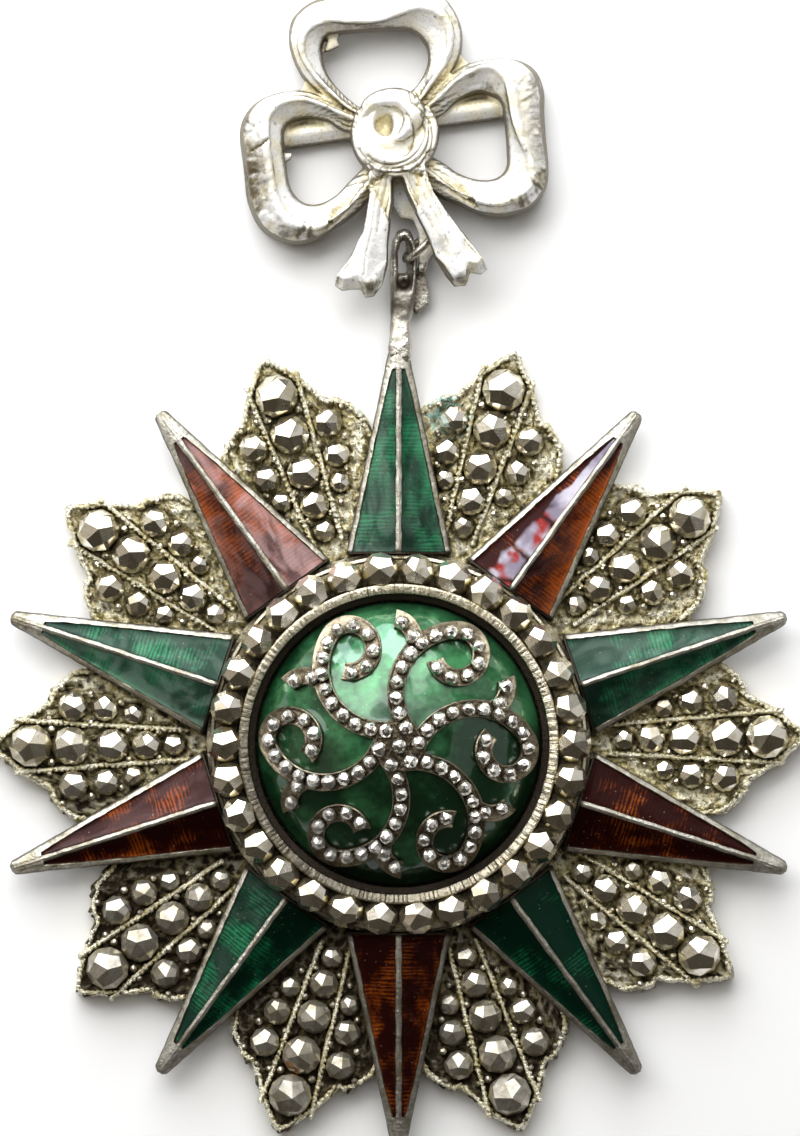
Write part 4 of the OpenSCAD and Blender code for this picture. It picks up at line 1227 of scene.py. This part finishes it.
def cell_shape(ray, side, ridge, border, low):
    """Enamel of one cell: a little dished, drawn up where it meets the silver.

    Its UV map is in mm on the ray. across runs from the ridge to the border, from 0 to 1.
    """
    first, last = cell_reach(ridge, border)
    r_rows = np.linspace(first + GAP, last - 3 * GAP, 60)
    u_cols = np.r_[0, 0.03, 0.08, np.linspace(0.15, 0.85, 9), 0.92, 0.97, 1]
    m, n = len(r_rows), len(u_cols)
    hand = -1 if side == "left" else 1
    points, flat = [], []
    for r in r_rows:
        x0, x1 = ridge + GAP * 0.6, cell_edge(r, border) - GAP * 0.6
        x = x0 + (x1 - x0) * u_cols
        near = np.minimum(np.minimum(x - x0, x1 - x), np.minimum(r - first, (last - r) * 0.6))
        dish = 0.1 * np.sin(np.pi * u_cols) * min(1, (x1 - x0) / 2)
        lift = 0.07 * np.exp(-np.maximum(near, 0) / 0.16)
        z = ray_top(x, r) - low + 0.02 - dish + lift
        points.append(np.c_[hand * x, np.full(n, r), z])
        flat.append(np.c_[x, np.full(n, r)])
    points, flat = np.vstack(points), np.vstack(flat)
    points[:, 2] += wobble(points + ray * 13.0, 1.8, 0.02)
    faces = []
    for i in range(m - 1):
        for k in range(i * n, i * n + n - 1):
            faces.append((k, k + 1, k + n + 1, k + n))
    # corners round the edge of the grid: along the first row, up one side, back, and down the other
    rim = [*range(n), *range(2 * n - 1, m * n, n), *range(m * n - 2, m * n - n - 1, -1)]
    rim += range((m - 2) * n, 0, -n)
    floor = points[rim].copy()
    floor[:, 2] = [ray_top(abs(x), r) + GAP - CELL_DEEP for x, r, _ in floor]
    base, count = len(points), len(rim)
    for i in range(count):
        after = (i + 1) % count
        faces.append((rim[i], rim[after], base + after, base + i))
    faces.append(tuple(range(base, base + count)))
    # every point of the top again for its foot
    both = [*range(m * n), *rim]
    across = np.tile(u_cols, m)[both]
    along = np.repeat(np.linspace(0, 1, m), n)[both]
    thin, rim_thin, milk = CELLS[ray][side == "right"]
    shell = (turned(np.vstack([points, floor]), -ray * PITCH), faces)
    made = solid(cell_name(ray, side) + "_glass", [shell], crease=60)
    note(made, "across", across)
    glow = GLOW * (np.sin(math.pi * along) - 0.6)
    # each cell's painted light rides on its thinness
    note(made, "thinness", thin + rim_thin * across ** 2 + glow)
    # each cell's painted sheen, the lamp's reflection
    note(made, "haze", np.full(len(across), milk))
    corner = np.zeros(len(made.data.loops), np.int32)
    made.data.loops.foreach_get("vertex_index", corner)
    spread = (flat[both] + [ray * 3.0, 0])[corner].astype(np.float32)
    made.data.uv_layers.new(name="ray_mm").data.foreach_set("uv", spread.ravel())
    return made


class BADGE_OT_ray_enamel(Operator):
    """Green and red enamel in the two cells of each ray"""

    bl_idname = "badge.ray_enamel"
    bl_label = "Ray enamel"

    def execute(self, context):
        sizes = context.scene.badge_sizes
        for ray in range(RAYS):
            for side in ("left", "right"):
                node = cell_name(ray, side)
                lengths = (sizes.ray_ridge / MM, sizes.ray_border / MM, sizes.cell_low / MM)
                cell = cell_shape(ray, side, *lengths)
                glass = "green" if ray % 2 == 0 else "red"
                finish = finish_of("chipped" if node == CHIPPED_CELL else glass)
                place(cell, glass + "_enamel", finish, node)
        return {"FINISHED"}


# boss and medallion
# rows of the ring for each cut in its rim, and points in each circle of the dome's enamel
CUT_ROWS, DOME_STEPS = 6, 240
# section of the ring, from under it out, over the bed and over the rim: radius, height, how dark it is
BOSS_PROFILE = [
    (DOME_EDGE_R + 0.15, BASE_Z, 0), (BOSS_R, BASE_Z, 0), (BOSS_R, BED_Z - 0.25, 0),
    (BOSS_R - 0.06, BED_Z - 0.06, 0), (BOSS_R - 0.25, BED_Z + 0.02, 0), (BOSS_R - 0.4, BED_Z - 0.12, 0),
    (12.3, BED_Z - 0.1, 0.6), (12.16, BED_Z + 0.1, 0.6), (12.14, RIM_Z - 0.3, 0), (12.08, RIM_Z - 0.1, 0),
    (11.96, RIM_Z - 0.02, 0), (11.52, RIM_Z - 0.04, 0), (11.4, RIM_Z - 0.12, 0), (11.36, RIM_Z - 0.5, 1),
    (11.34, 4.1, 1), (DOME_EDGE_R + 0.15, 3.95, 1),
]


class BADGE_OT_boss_ring(Operator):
    """Ring round the medallion with its studs and milled inner rim"""

    bl_idname = "badge.boss_ring"
    bl_label = "Boss ring"

    def execute(self, context):
        sizes = context.scene.badge_sizes
        draw = np.random.default_rng(sizes.seed)
        steps = CUT_ROWS * sizes.rim_cuts
        depth = draw.uniform(-0.02, 0.09, steps)
        bent = 40 * np.exp(2j * math.pi * np.arange(steps) / steps)
        drift = [noise.noise(Vector((at.real, at.imag, 0))) for at in bent]

        def cut(flat, i):
            """The rim sways a little, and one row in each few is a cut over its flat."""
            flat[8:14, 1] += 0.06 * drift[i]
            flat[8:14, 0] += 0.04 * drift[(i * 7) % steps]
            if i % CUT_ROWS == 0:
                flat[10:13, 1] -= max(0, depth[i])
            return flat

        shell = lathe([(r, z) for r, z, _ in BOSS_PROFILE], steps, cut)
        body = solid("boss_body", [shell], crease=35)
        dark = np.tile([dark for _, _, dark in BOSS_PROFILE], steps)
        # on top of the profile's dark, painted shade towards the left and below
        note(body, "mark", dark + 0.65 * tarnish(shell[0], 1.6))
        body.data.materials.append(finish_of("ring"))
        a = 2 * math.pi * np.arange(sizes.boss_studs) / sizes.boss_studs
        spots = np.c_[
            circle(BOSS_STUD_R, a), np.full(len(a), BED_Z - 0.25),
            draw.uniform(*BOSS_STUD_WIDE, len(a)), draw.uniform(*BOSS_STUD_HIGH, len(a)),
        ]
        studs = set_studs("boss_studs", spots, 3, 0.3)
        place(join("boss_ring_studded", [body, studs]), "frame_silver", None, "boss_ring")
        return {"FINISHED"}


def arc_points(arc, steps):
    """Points along one arc of the ornament, with the direction across it."""
    cx, cy, radius, start, end, _ = arc
    a = np.radians(np.linspace(start, end, steps))
    out = np.c_[np.cos(a), np.sin(a)]
    return np.array([cx, cy]) + radius * out, out


def on_dome(flat, lift):
    """Points over the dome's sphere, straight above points in the plane."""
    flat = np.asarray(flat, float)
    high = DOME_Z + np.sqrt(np.maximum((DOME_R + lift) ** 2 - (flat ** 2).sum(1), 0.01))
    return np.c_[flat, high]


def arm_turn(arm):
    """How far an arm of the ornament is turned, in degrees."""
    return -arm * 360 / ARMS


class BADGE_OT_medallion(Operator):
    """Enamel of the dome, drawn up round the ornament, over the silver dome and the post of the frame"""

    bl_idname = "badge.medallion"
    bl_label = "Medallion"

    def execute(self, context):
        strips = np.vstack([
            turned(np.c_[arc_points(arc, 40)[0], np.zeros(40)], arm_turn(arm))[:, :2]
            for arm in range(ARMS) for arc in ARCS
        ])
        radii = np.r_[0.02, np.linspace(0.4, DOME_EDGE_R - 0.12, 70), DOME_EDGE_R - 0.04, DOME_EDGE_R]
        a = 2 * math.pi * np.arange(DOME_STEPS) / DOME_STEPS
        rows = []
        for r in radii:
            flat = circle(r, a)
            # the glass was drawn up round the strips, and ends in a rounded edge
            gap = np.sqrt(((flat[:, None] - strips[None]) ** 2).sum(2)).min(1) - STRIP_W / 2
            row = on_dome(flat, 0)
            row[:, 2] += 0.06 * np.exp(-np.maximum(gap, 0) / 0.25) - 0.05
            row[:, 2] -= 0.12 * max(0, (r - DOME_EDGE_R + 0.2) / 0.2) ** 2
            row[:, 2] += wobble(row, 2.4, 0.08)
            rows.append(row)
        rows += [on_dome(circle(r, a), -ENAMEL_T) for r in radii[::-1]]
        enamel = solid("medallion_enamel_glass", [skin(rows)], crease=50)
        # painted reflection: lighter over the right of the dome and at its right edge, and painted light that
        # makes it a little lighter towards the top
        x, y = np.vstack(rows)[:, :2].T
        thin = 0.2 * np.exp(-((x - 7.5) / 2.6) ** 2 - ((y - 6.0) / 3.0) ** 2)
        thin += 0.35 * np.exp(-((x - 10.3) / 0.8) ** 2 - ((y - 3.2) / 1.6) ** 2) + 0.012 * y
        note(enamel, "thinness", thin)
        place(enamel, "green_enamel", finish_of("dome"), "medallion_enamel")
        for node in ("medallion", "centre_post"):
            dressed = frame["nodes"][node].data.materials
            dressed.clear()
            dressed.append(finish_of("frame"))
        return {"FINISHED"}


def bead_tree():
    """Slightly faceted bead on every point."""
    tree, given = grow_tree("Beads", [("Seed", "Int")])
    bead = add(tree, "GeometryNodeMeshIcoSphere", {"Radius": 0.5, "Subdivisions": 2})[0]
    bead = uneven(tree, bead, 1.7, 0.0, 0.22)
    chance = {"data_type": "FLOAT_VECTOR"}
    about = {0: (-3.1, -3.1, -3.1), 1: (3.1, 3.1, 3.1), 8: given["Seed"]}
    turn = add(tree, "FunctionNodeRandomValue", about, **chance)[0]
    size = add(tree, "GeometryNodeInputNamedAttribute", {"Name": "size"}, **chance)[0]
    grown = add(tree, "GeometryNodeInstanceOnPoints", {
        "Points": given["Geometry"], "Instance": bead, "Rotation": turn, "Scale": size,
    })[0]
    return finish_tree(tree, grown, given)


def strip_shell(arc):
    """Shell of one ornament strip on the dome: two thin walls and the hollow that the beads lie in."""
    flat, out = arc_points(arc, 44)
    wall = [(0.0, 0.06), (0.0, STRIP_T - 0.08), (0.06, STRIP_T - 0.02), (0.16, STRIP_T - 0.05), (0.24, 0.16)]
    half = STRIP_W / 2
    section = [(-half + x, h) for x, h in wall] + [(0, 0.13)] + [(half - x, h) for x, h in wall[::-1]]
    rows = []
    for p, side in zip(flat, out):
        across = np.array([p + side * x for x, _ in section])
        foot = on_dome(across, 0)
        normal = foot - np.array([0, 0, DOME_Z])
        normal /= np.linalg.norm(normal, axis=1)[:, None]
        rows.append(foot + normal * np.array([h for _, h in section])[:, None])
    points, faces = skin(rows)
    points[:, 2] += wobble(points, 0.5, 0.04)
    return points, faces


class BADGE_OT_ornament(Operator):
    """Six beaded scrolls laid over the enamel of the dome"""

    bl_idname = "badge.ornament"
    bl_label = "Beaded scrolls"

    def execute(self, context):
        shells, spots = [], []
        seed = context.scene.badge_sizes.seed
        draw = np.random.default_rng(seed)
        for arm in range(ARMS):
            for arc in ARCS:
                points, faces = strip_shell(arc)
                shells.append((turned(points, arm_turn(arm)), faces))
                cx, cy, radius, start, end, beads = arc
                for k in range(beads):
                    a = math.radians(start + (end - start) * (k + 0.6) / beads)
                    flat = np.array([[cx + radius * math.cos(a), cy + radius * math.sin(a), 0]])
                    at = on_dome(turned(flat, arm_turn(arm))[:, :2], 0.02 + BEAD_D / 2)[0]
                    spots.append((*at, BEAD_D * draw.uniform(0.92, 1.08)))
        # the disc in the middle, and the bead on it
        ring = np.linspace(0, 2 * math.pi, 48, endpoint=False)
        shells.append(skin([on_dome(circle(r, ring), h) for r, h in DISC_PROFILE]))
        spots.append((*on_dome([(0, 0)], BEAD_D * 0.54)[0], BEAD_D * 1.08))
        spots = np.array(spots)
        strips = solid("scroll_strips", shells, crease=40)
        strips.data.materials.append(finish_of("strips"))
        # painted shade on the beads towards the left and below
        dark = 0.7 * tarnish(spots, 1.0)
        beads = cloud("scroll_beads", spots[:, :3], size=np.repeat(spots[:, 3:], 3, 1) * MM, mark=dark)
        grow(beads, bead_tree(), {"Seed": seed, "Material": finish_of("beads")})
        scrolls = join("medallion_ornament_beaded", [strips, beads])
        place(scrolls, "bright_silver", None, "medallion_ornament")
        return {"FINISHED"}


# bow


def ribbon(rows):
    """Shell of one loop of ribbon: wall, outer slope, ridge and inner slope down to the hole."""
    line = refine(rows, 5)
    share = np.linspace(0, 1, len(line))
    crest = CREST_Z - 0.7 * (1 - np.sin(np.pi * share)) ** 1.5
    out = []
    for q, z in zip(line, crest):
        hole, ridge, edge = q[:2], q[2:4], q[4:]
        section = [(*edge, BACK_Z)]
        for s, drop in RIBBON_SECTION:
            p = ridge + (hole - ridge) * s if s > 0 else ridge - (edge - ridge) * s
            section.append((*p, z - drop))
        section.append((*hole, BACK_Z))
        out.append(section)
    return skin(out)


def band(rows, low, grooves):
    """Shell of a rounded band with grooves along it, laid over the knot's pad."""
    line = refine(rows, 6)
    last = len(line) - 1
    arc = np.linspace(0, math.pi, 17)
    out = []
    for i, (x, y, half, tall) in enumerate(line):
        ahead = line[min(i + 1, last), :2] - line[max(i - 1, 0), :2]
        ahead /= np.linalg.norm(ahead)
        side = np.array([-ahead[1], ahead[0]])
        ripple = 0.12 * np.cos(arc * (2 * grooves + 1)) * np.sin(arc) * math.sin(math.pi * i / last)
        flat = np.array([x, y]) + side * (half * np.cos(arc))[:, None]
        section = np.c_[flat, low + tall * np.sin(arc) ** 0.8 + ripple]
        out.append(np.vstack([[*flat[0], low - 0.6], section, [*flat[-1], low - 0.6]]))
    return skin(out)


def tail(outline, low):
    """Shell of one tail of the bow: its side and end walls lean outwards."""
    foot = np.array(outline, float)
    middle = foot[:, 0].mean() + 0.25 * (foot[:, 0] - foot[:, 0].mean())
    top = foot.copy()
    top[:, 0] += 0.1 * (middle - foot[:, 0])
    top[:, 1] += 0.85 * np.clip((-9.4 - foot[:, 1]) / 1.6, 0, 1)
    levels = ((foot, low), (foot, low + 0.35), (top, low + 1.3))
    return skin([np.c_[flat, np.full(len(flat), z)] for flat, z in levels])


def rod(p, q, radius, sides=24):
    """Shell of a round rod between two points."""
    p, q = np.array(p, float), np.array(q, float)
    d = (q - p) / np.linalg.norm(q - p)
    u = np.cross(d, [0, 0, 1.0] if abs(d[2]) < 0.9 else [1.0, 0, 0])
    u /= np.linalg.norm(u)
    v = np.cross(d, u)
    a = np.linspace(0, 2 * math.pi, sides, endpoint=False)[:, None]
    ring = radius * (np.cos(a) * u + np.sin(a) * v)
    return skin([p + ring, q + ring])


def pad():
    """Shell of the knot's round pad."""
    ring = np.linspace(0, 2 * math.pi, 40, endpoint=False)
    return skin([np.c_[circle(r, ring) + [PAD_X, 0], np.full(40, z)] for r, z in PAD_PROFILE])


def nearest_on(rows, points):
    """Where points in the plane lie on a ribbon.

    Gives how far along it they are, how far across it (-1 edge, 0 ridge, 1 hole), and how far off its ridge.
    """
    line = refine(rows, 4)
    gap = ((points[:, None] - line[None, :, 2:4]) ** 2).sum(2)
    best = gap.argmin(1)
    hole, ridge, edge = line[best, :2], line[best, 2:4], line[best, 4:]
    off = points - ridge
    inward = ((off * (hole - ridge)).sum(1)) / ((hole - ridge) ** 2).sum(1)
    outward = ((off * (edge - ridge)).sum(1)) / ((edge - ridge) ** 2).sum(1)
    across = np.where(inward > outward, inward, -outward)
    return best / (len(line) - 1), np.clip(across, -1.6, 1.6), np.sqrt(gap.min(1))


def groove(deep, mark, off, width, where, dark, depth=0.16):
    """Cuts a fine groove where a distance is nought: into deep its depth, into mark its dark film."""
    cut = np.where(where, np.exp(-(off / width) ** 2), 0)
    np.maximum(mark, cut * dark, out=mark)
    deep -= depth * cut


def carve_loops(deep, mark, flat, knot_gap):
    """Pleats that run out of the knot along each loop."""
    near = np.clip(1.25 - (knot_gap - 3.2) / 3.6, 0, 1)
    for rows, pleats in PLEATS:
        along, across, gap = nearest_on(rows, flat)
        mine = (gap < 2.6) & (knot_gap > 2.9)
        for i, pleat in enumerate(pleats):
            sway = pleat + 0.07 * np.sin(along * 40 + i * 2.1)
            off = (across - sway) * 1.6
            deep -= near * (0.16 * np.where(mine, np.exp(-(off / 0.12) ** 2), 0))
            np.maximum(mark, 0.75 * near * np.exp(-(off / 0.09) ** 2) * mine, out=mark)


def carve_tails(deep, mark, flat, z, knot_gap):
    """Each tail falls both ways from its fold, with scratches along it, and dips in front of its two tips."""
    for start, end, tips in TAIL_FOLDS:
        ahead = np.array(end) - np.array(start)
        ahead /= np.linalg.norm(ahead)
        off = flat - np.array(start)
        run, side = off @ ahead, off @ np.array([-ahead[1], ahead[0]])
        mine = (run > -0.4) & (np.abs(side) < 3.2) & (z > 3.2) & (knot_gap > 2.6)
        roof = 0.3 - 0.27 * np.abs(side)
        for x, y in tips:
            roof -= 0.22 * np.exp(-((flat[:, 0] - x) / 0.55) ** 2 - (flat[:, 1] - y) ** 2)
        deep += np.where(mine, roof, 0)
        for shift, reach in TAIL_LINES:
            line = side - shift - 0.05 * np.sin(run * 1.7)
            groove(deep, mark, line, 0.1, mine & (run < reach), 0.5, depth=0.1)


def carve_knot(deep, mark, flat, z, knot_gap):
    """The hollow between the bands of the knot, and the strands wound round its foot."""
    x, y = flat.T
    hollow = np.hypot((x + 0.75) / 0.85, (y - 0.95) / 1.1)
    deep -= np.where((hollow < 1) & (z > 3.5), 1.15 * (1 - hollow ** 2), 0)
    angle = np.arctan2(y, x - PAD_X)
    for r, first, last in KNOT_STRANDS:
        mine = (angle > first) & (angle < last) & (z > 2.6)
        groove(deep, mark, knot_gap - r - 0.1 * np.sin(angle * 2.0 + r * 3), 0.09, mine, 0.7)


def stain_bow(deep, mark, points, flat):
    """Brown in streaks down the outer walls, patches that are rough as well as brown, and fine dark pits."""
    high = flat[:, 1] > 3.5
    middle = np.c_[np.where(high, -0.5, 6.5 * np.sign(flat[:, 0])), np.where(high, 6.0, -0.8)]
    out = flat - middle
    around = np.c_[
        6 * np.arctan2(out[:, 1], out[:, 0]), 0.3 * np.hypot(out[:, 0], out[:, 1]), 0.3 * points[:, 2],
    ]
    rough = 0.5 * wobble(points, 0.35, 1.0, 9.0) + 0.8 * wobble(around, 0.3, 1.0, 9.0)
    for x, dark in WALLS:
        wall = np.exp(-((flat[:, 0] - x) / 1.8) ** 2 - ((flat[:, 1] + 1.4) / 4.0) ** 2)
        np.maximum(mark, dark * wall * np.clip(0.9 + 0.35 * rough, 0, 1), out=mark)
    streaky = wobble(points * [0.35, 1.3, 1.0], 0.45, 1.0, 3.0)
    for x, y, size, dark in STAINS:
        away = np.hypot(flat[:, 0] - x, flat[:, 1] - y)
        np.maximum(mark, dark * np.clip(1.1 - away / size + 0.9 * rough, 0, 1), out=mark)
        deep += 0.1 * streaky * np.exp(-(away / size) ** 2)
    pits = wobble(points, 0.3, 1.0, 4.0)
    np.maximum(mark, 0.55 * np.clip((pits - 0.5) * 6, 0, 1), out=mark)


def carve_bow(mesh):
    """Folds, grooves and dents of the cast bow, cut into its fine skin; gives how dark each point is."""
    points, normals = points_of(mesh)
    flat = points[:, :2].astype(float)
    knot_gap = np.hypot(flat[:, 0] - PAD_X, flat[:, 1])
    deep, mark = np.zeros(len(points)), np.zeros(len(points))
    carve_loops(deep, mark, flat, knot_gap)
    carve_tails(deep, mark, flat, points[:, 2], knot_gap)
    carve_knot(deep, mark, flat, points[:, 2], knot_gap)
    # the fold of the left loop
    crease = (flat[:, 1] - 0.3) - 0.44 * (flat[:, 0] + 11.2)
    groove(deep, mark, crease, 0.1, np.abs(flat[:, 0] + 10.3) < 0.8, 0.95, depth=0.22)
    stain_bow(deep, mark, points, flat)
    deep += wobble(points, 1.1, 0.06) + wobble(points, 0.35, 0.03, 2.0)
    # only what looks up is carved
    up = np.clip(normals[:, 2] * 1.6, 0, 1) * (points[:, 2] > 2.2)
    move_points(mesh, points + normals * (deep * up)[:, None])
    return mark


class BADGE_OT_bow(Operator):
    """Cast ribbon bow with its knot, two tails, ribbon bar and ring strap"""

    bl_idname = "badge.bow"
    bl_label = "Ribbon bow"

    def execute(self, context):
        sizes = context.scene.badge_sizes
        shells = [
            ribbon(LEFT_LOOP), ribbon(TOP_LOOP), ribbon(RIGHT_LOOP), pad(),
            band(LOW_BAND, 3.9, grooves=2), band(TOP_BAND, 4.1, grooves=1),
            tail(LEFT_TAIL, 3.3), tail(RIGHT_TAIL, 3.65),
            *[prism(*flat) for flat in FLATS],
            rod(*[(x, BAR_Y, BAR_R) for x in BAR_ENDS], BAR_R),
        ]
        x, y, r = STRAP_HOLE
        hole = solid("strap_hole", [rod((x, y, -1), (x, y, 3), r)])
        bow = voxeled("bow_cast", shells, sizes.bow_voxel, holes=[hole])
        note(bow, "mark", carve_bow(bow.data))
        for finish in ("bow", "bronze"):
            bow.data.materials.append(finish_of(finish))
        # the tongue and the solder on it have gone brown
        middle = np.zeros(len(bow.data.polygons) * 3, np.float32)
        bow.data.polygons.foreach_get("center", middle)
        _, y, z = middle.reshape(-1, 3).T / MM
        tongue = (y < -9.7) & (z < 2.2)
        bow.data.polygons.foreach_set("material_index", tongue.astype(np.int32))
        # from upright round its knot to where it lies
        spin = Matrix.Rotation(math.radians(BOW_TURN), 4, "Z")
        bow.data.transform(Matrix.Translation((KNOT[0] * MM, KNOT[1] * MM, 0)) @ spin)
        place(bow, "bright_silver", None, "bow")
        return {"FINISHED"}


class BADGE_OT_jump_ring(Operator):
    """Wire ring through the bail and the strap, with the gap where it was closed"""

    bl_idname = "badge.jump_ring"
    bl_label = "Jump ring"

    def execute(self, context):
        turn = Matrix.Rotation(math.radians(RING_TURN), 4, "Z")
        lean = Matrix.Rotation(math.radians(RING_LEAN), 4, "X")
        pose = Matrix.Translation(RING_AT) @ turn @ lean
        wire = RING_WIRE / 2
        rows = []
        for a in np.radians(np.linspace(1.2, 358.8, 72)):
            section = []
            for b in np.linspace(0, 2 * math.pi, 16, endpoint=False):
                r = RING_R + wire * math.cos(b)
                section.append(pose @ Vector((r * math.cos(a), r * math.sin(a), wire * math.sin(b))))
            rows.append(section)
        ring = solid("jump_ring_wire", [skin(rows)], crease=60)
        place(ring, "bright_silver", finish_of("bronze"), "jump_ring")
        return {"FINISHED"}


# stage
WHITE, CANDLE, SKY = "#FFFFFF", "#FFF1DA", "#E6F0FF"
# studio lights: place, y of the point they aim at, width and height, all in metres, watts, tint
LIGHTS = {
    "head_softbox": ((-0.10, 0.75, 0.62), 0.02, (1.5, 0.9), 5.2, WHITE),
    "top_softbox": ((-0.04, 0.32, 0.95), 0.02, (0.9, 0.6), 2.3, WHITE),
    "near_softbox": ((-0.05, 0.155, 0.12), 0.035, (0.30, 0.16), 0.54, WHITE),
    "right_softbox": ((0.80, 0.15, 0.50), 0.01, (0.8, 0.7), 1.0, WHITE),
    "left_softbox": ((-0.80, 0.15, 0.50), 0.01, (0.8, 0.7), 0.6, CANDLE),
    "tall_window": ((-0.09, 1.00, 0.27), 0.01, (0.28, 0.42), 2.6, SKY),
    "side_window": ((-0.55, 0.85, 0.30), 0.01, (0.20, 0.34), 1.4, SKY),
}
# camera: the point it looks down on, its height over that point, and the height of what it sees there
CAMERA_AT, CAMERA_AWAY, CAMERA_SEES = (0.1, 13.3, 2.5), 450.0, 86.3
SENSOR = 36
FLOOR_HALF, FLOOR_Z = 1500.0, -0.02


def softbox(name, at, aim_y, size, power, tint):
    """Rectangular studio light aimed at a point on the floor."""
    lamp = bpy.data.lights.new(name, "AREA")
    lamp.shape, lamp.size, lamp.size_y = "RECTANGLE", *size
    lamp.energy = power
    lamp.color = srgb(tint)[:3]
    made = stand(name, lamp)
    made.location = at
    made.rotation_euler = (Vector((0, aim_y, 0)) - Vector(at)).to_track_quat("-Z", "Y").to_euler()
    made.visible_camera = False


def paper():
    """White paper: matt, and very faintly mottled, so that it isn't a flat white."""
    material, tree = new_material("white_paper_sheet")
    here = add(tree, "ShaderNodeTexCoord")["Object"]
    grain = add(tree, NOISE, {"Vector": here, "Scale": 1 / (8 * MM)})[0]
    tone = add(tree, MIX, {0: grain, 6: srgb("#FAFAFA"), 7: srgb("#FDFDFD")}, data_type="RGBA")[2]
    shader = add(tree, PRINCIPLED, {"Base Color": tone, "Roughness": 0.9})
    add(tree, "ShaderNodeOutputMaterial", {"Surface": shader[0]})
    return material


class BADGE_OT_stage(Operator):
    """White table, soft studio light from the head of the badge, and the camera straight above"""

    bl_idname = "badge.stage"
    bl_label = "Stage"

    def execute(self, context):
        scene = context.scene
        world = bpy.data.worlds.new("studio")
        world.use_nodes = True
        sky = world.node_tree.nodes["Background"].inputs
        sky[0].default_value, sky[1].default_value = srgb("#7A7060"), 0.25
        scene.world = world
        corners = [(x * FLOOR_HALF, y * FLOOR_HALF) for x, y in ((-1, -1), (1, -1), (1, 1), (-1, 1))]
        floor = solid("floor", [prism(corners, -1.0, FLOOR_Z)], smooth=False)
        floor.data.materials.append(paper())
        for name, light in LIGHTS.items():
            softbox(name, *light)
        lens = bpy.data.cameras.new("camera")
        lens.lens = SENSOR * CAMERA_AWAY / CAMERA_SEES
        lens.clip_start, lens.clip_end = 0.01, 10
        camera = stand("camera", lens)
        x, y, z = CAMERA_AT
        camera.location = (x * MM, y * MM, (CAMERA_AWAY + z) * MM)
        scene.camera = camera
        scene.view_settings.view_transform = "Standard"
        return {"FINISHED"}


STEPS = (
    BADGE_OT_stage, BADGE_OT_star_plate, BADGE_OT_plate_studs, BADGE_OT_ray_star, BADGE_OT_ray_enamel,
    BADGE_OT_boss_ring, BADGE_OT_medallion, BADGE_OT_ornament, BADGE_OT_bow, BADGE_OT_jump_ring,
)


class BADGE_PT_build(Panel):
    """Sidebar panel with the sizes, the colours and one button for each piece"""

    bl_idname = "BADGE_PT_build"
    bl_label = "Commander badge"
    bl_space_type = "VIEW_3D"
    bl_region_type = "UI"
    bl_category = "Badge"

    def draw(self, context):
        for group in (context.scene.badge_sizes, context.scene.badge_colours):
            for name in group.__annotations__:
                self.layout.prop(group, name)
        for step in STEPS:
            self.layout.operator(step.bl_idname)


CLASSES = (BadgeSizes, BadgeColours, *STEPS, BADGE_PT_build)


def register():
    """Adds the classes and their settings to Blender."""
    for cls in CLASSES:
        bpy.utils.register_class(cls)
    bpy.types.Scene.badge_sizes = PointerProperty(type=BadgeSizes)
    bpy.types.Scene.badge_colours = PointerProperty(type=BadgeColours)


def unregister():
    """Takes them out again."""
    del bpy.types.Scene.badge_sizes
    del bpy.types.Scene.badge_colours
    for cls in reversed(CLASSES):
        bpy.utils.unregister_class(cls)


def main():
    """Builds every piece in order."""
    register()
    for step in STEPS:
        family, action = step.bl_idname.split(".")
        getattr(getattr(bpy.ops, family), action)()


if __name__ == "__main__":
    main()
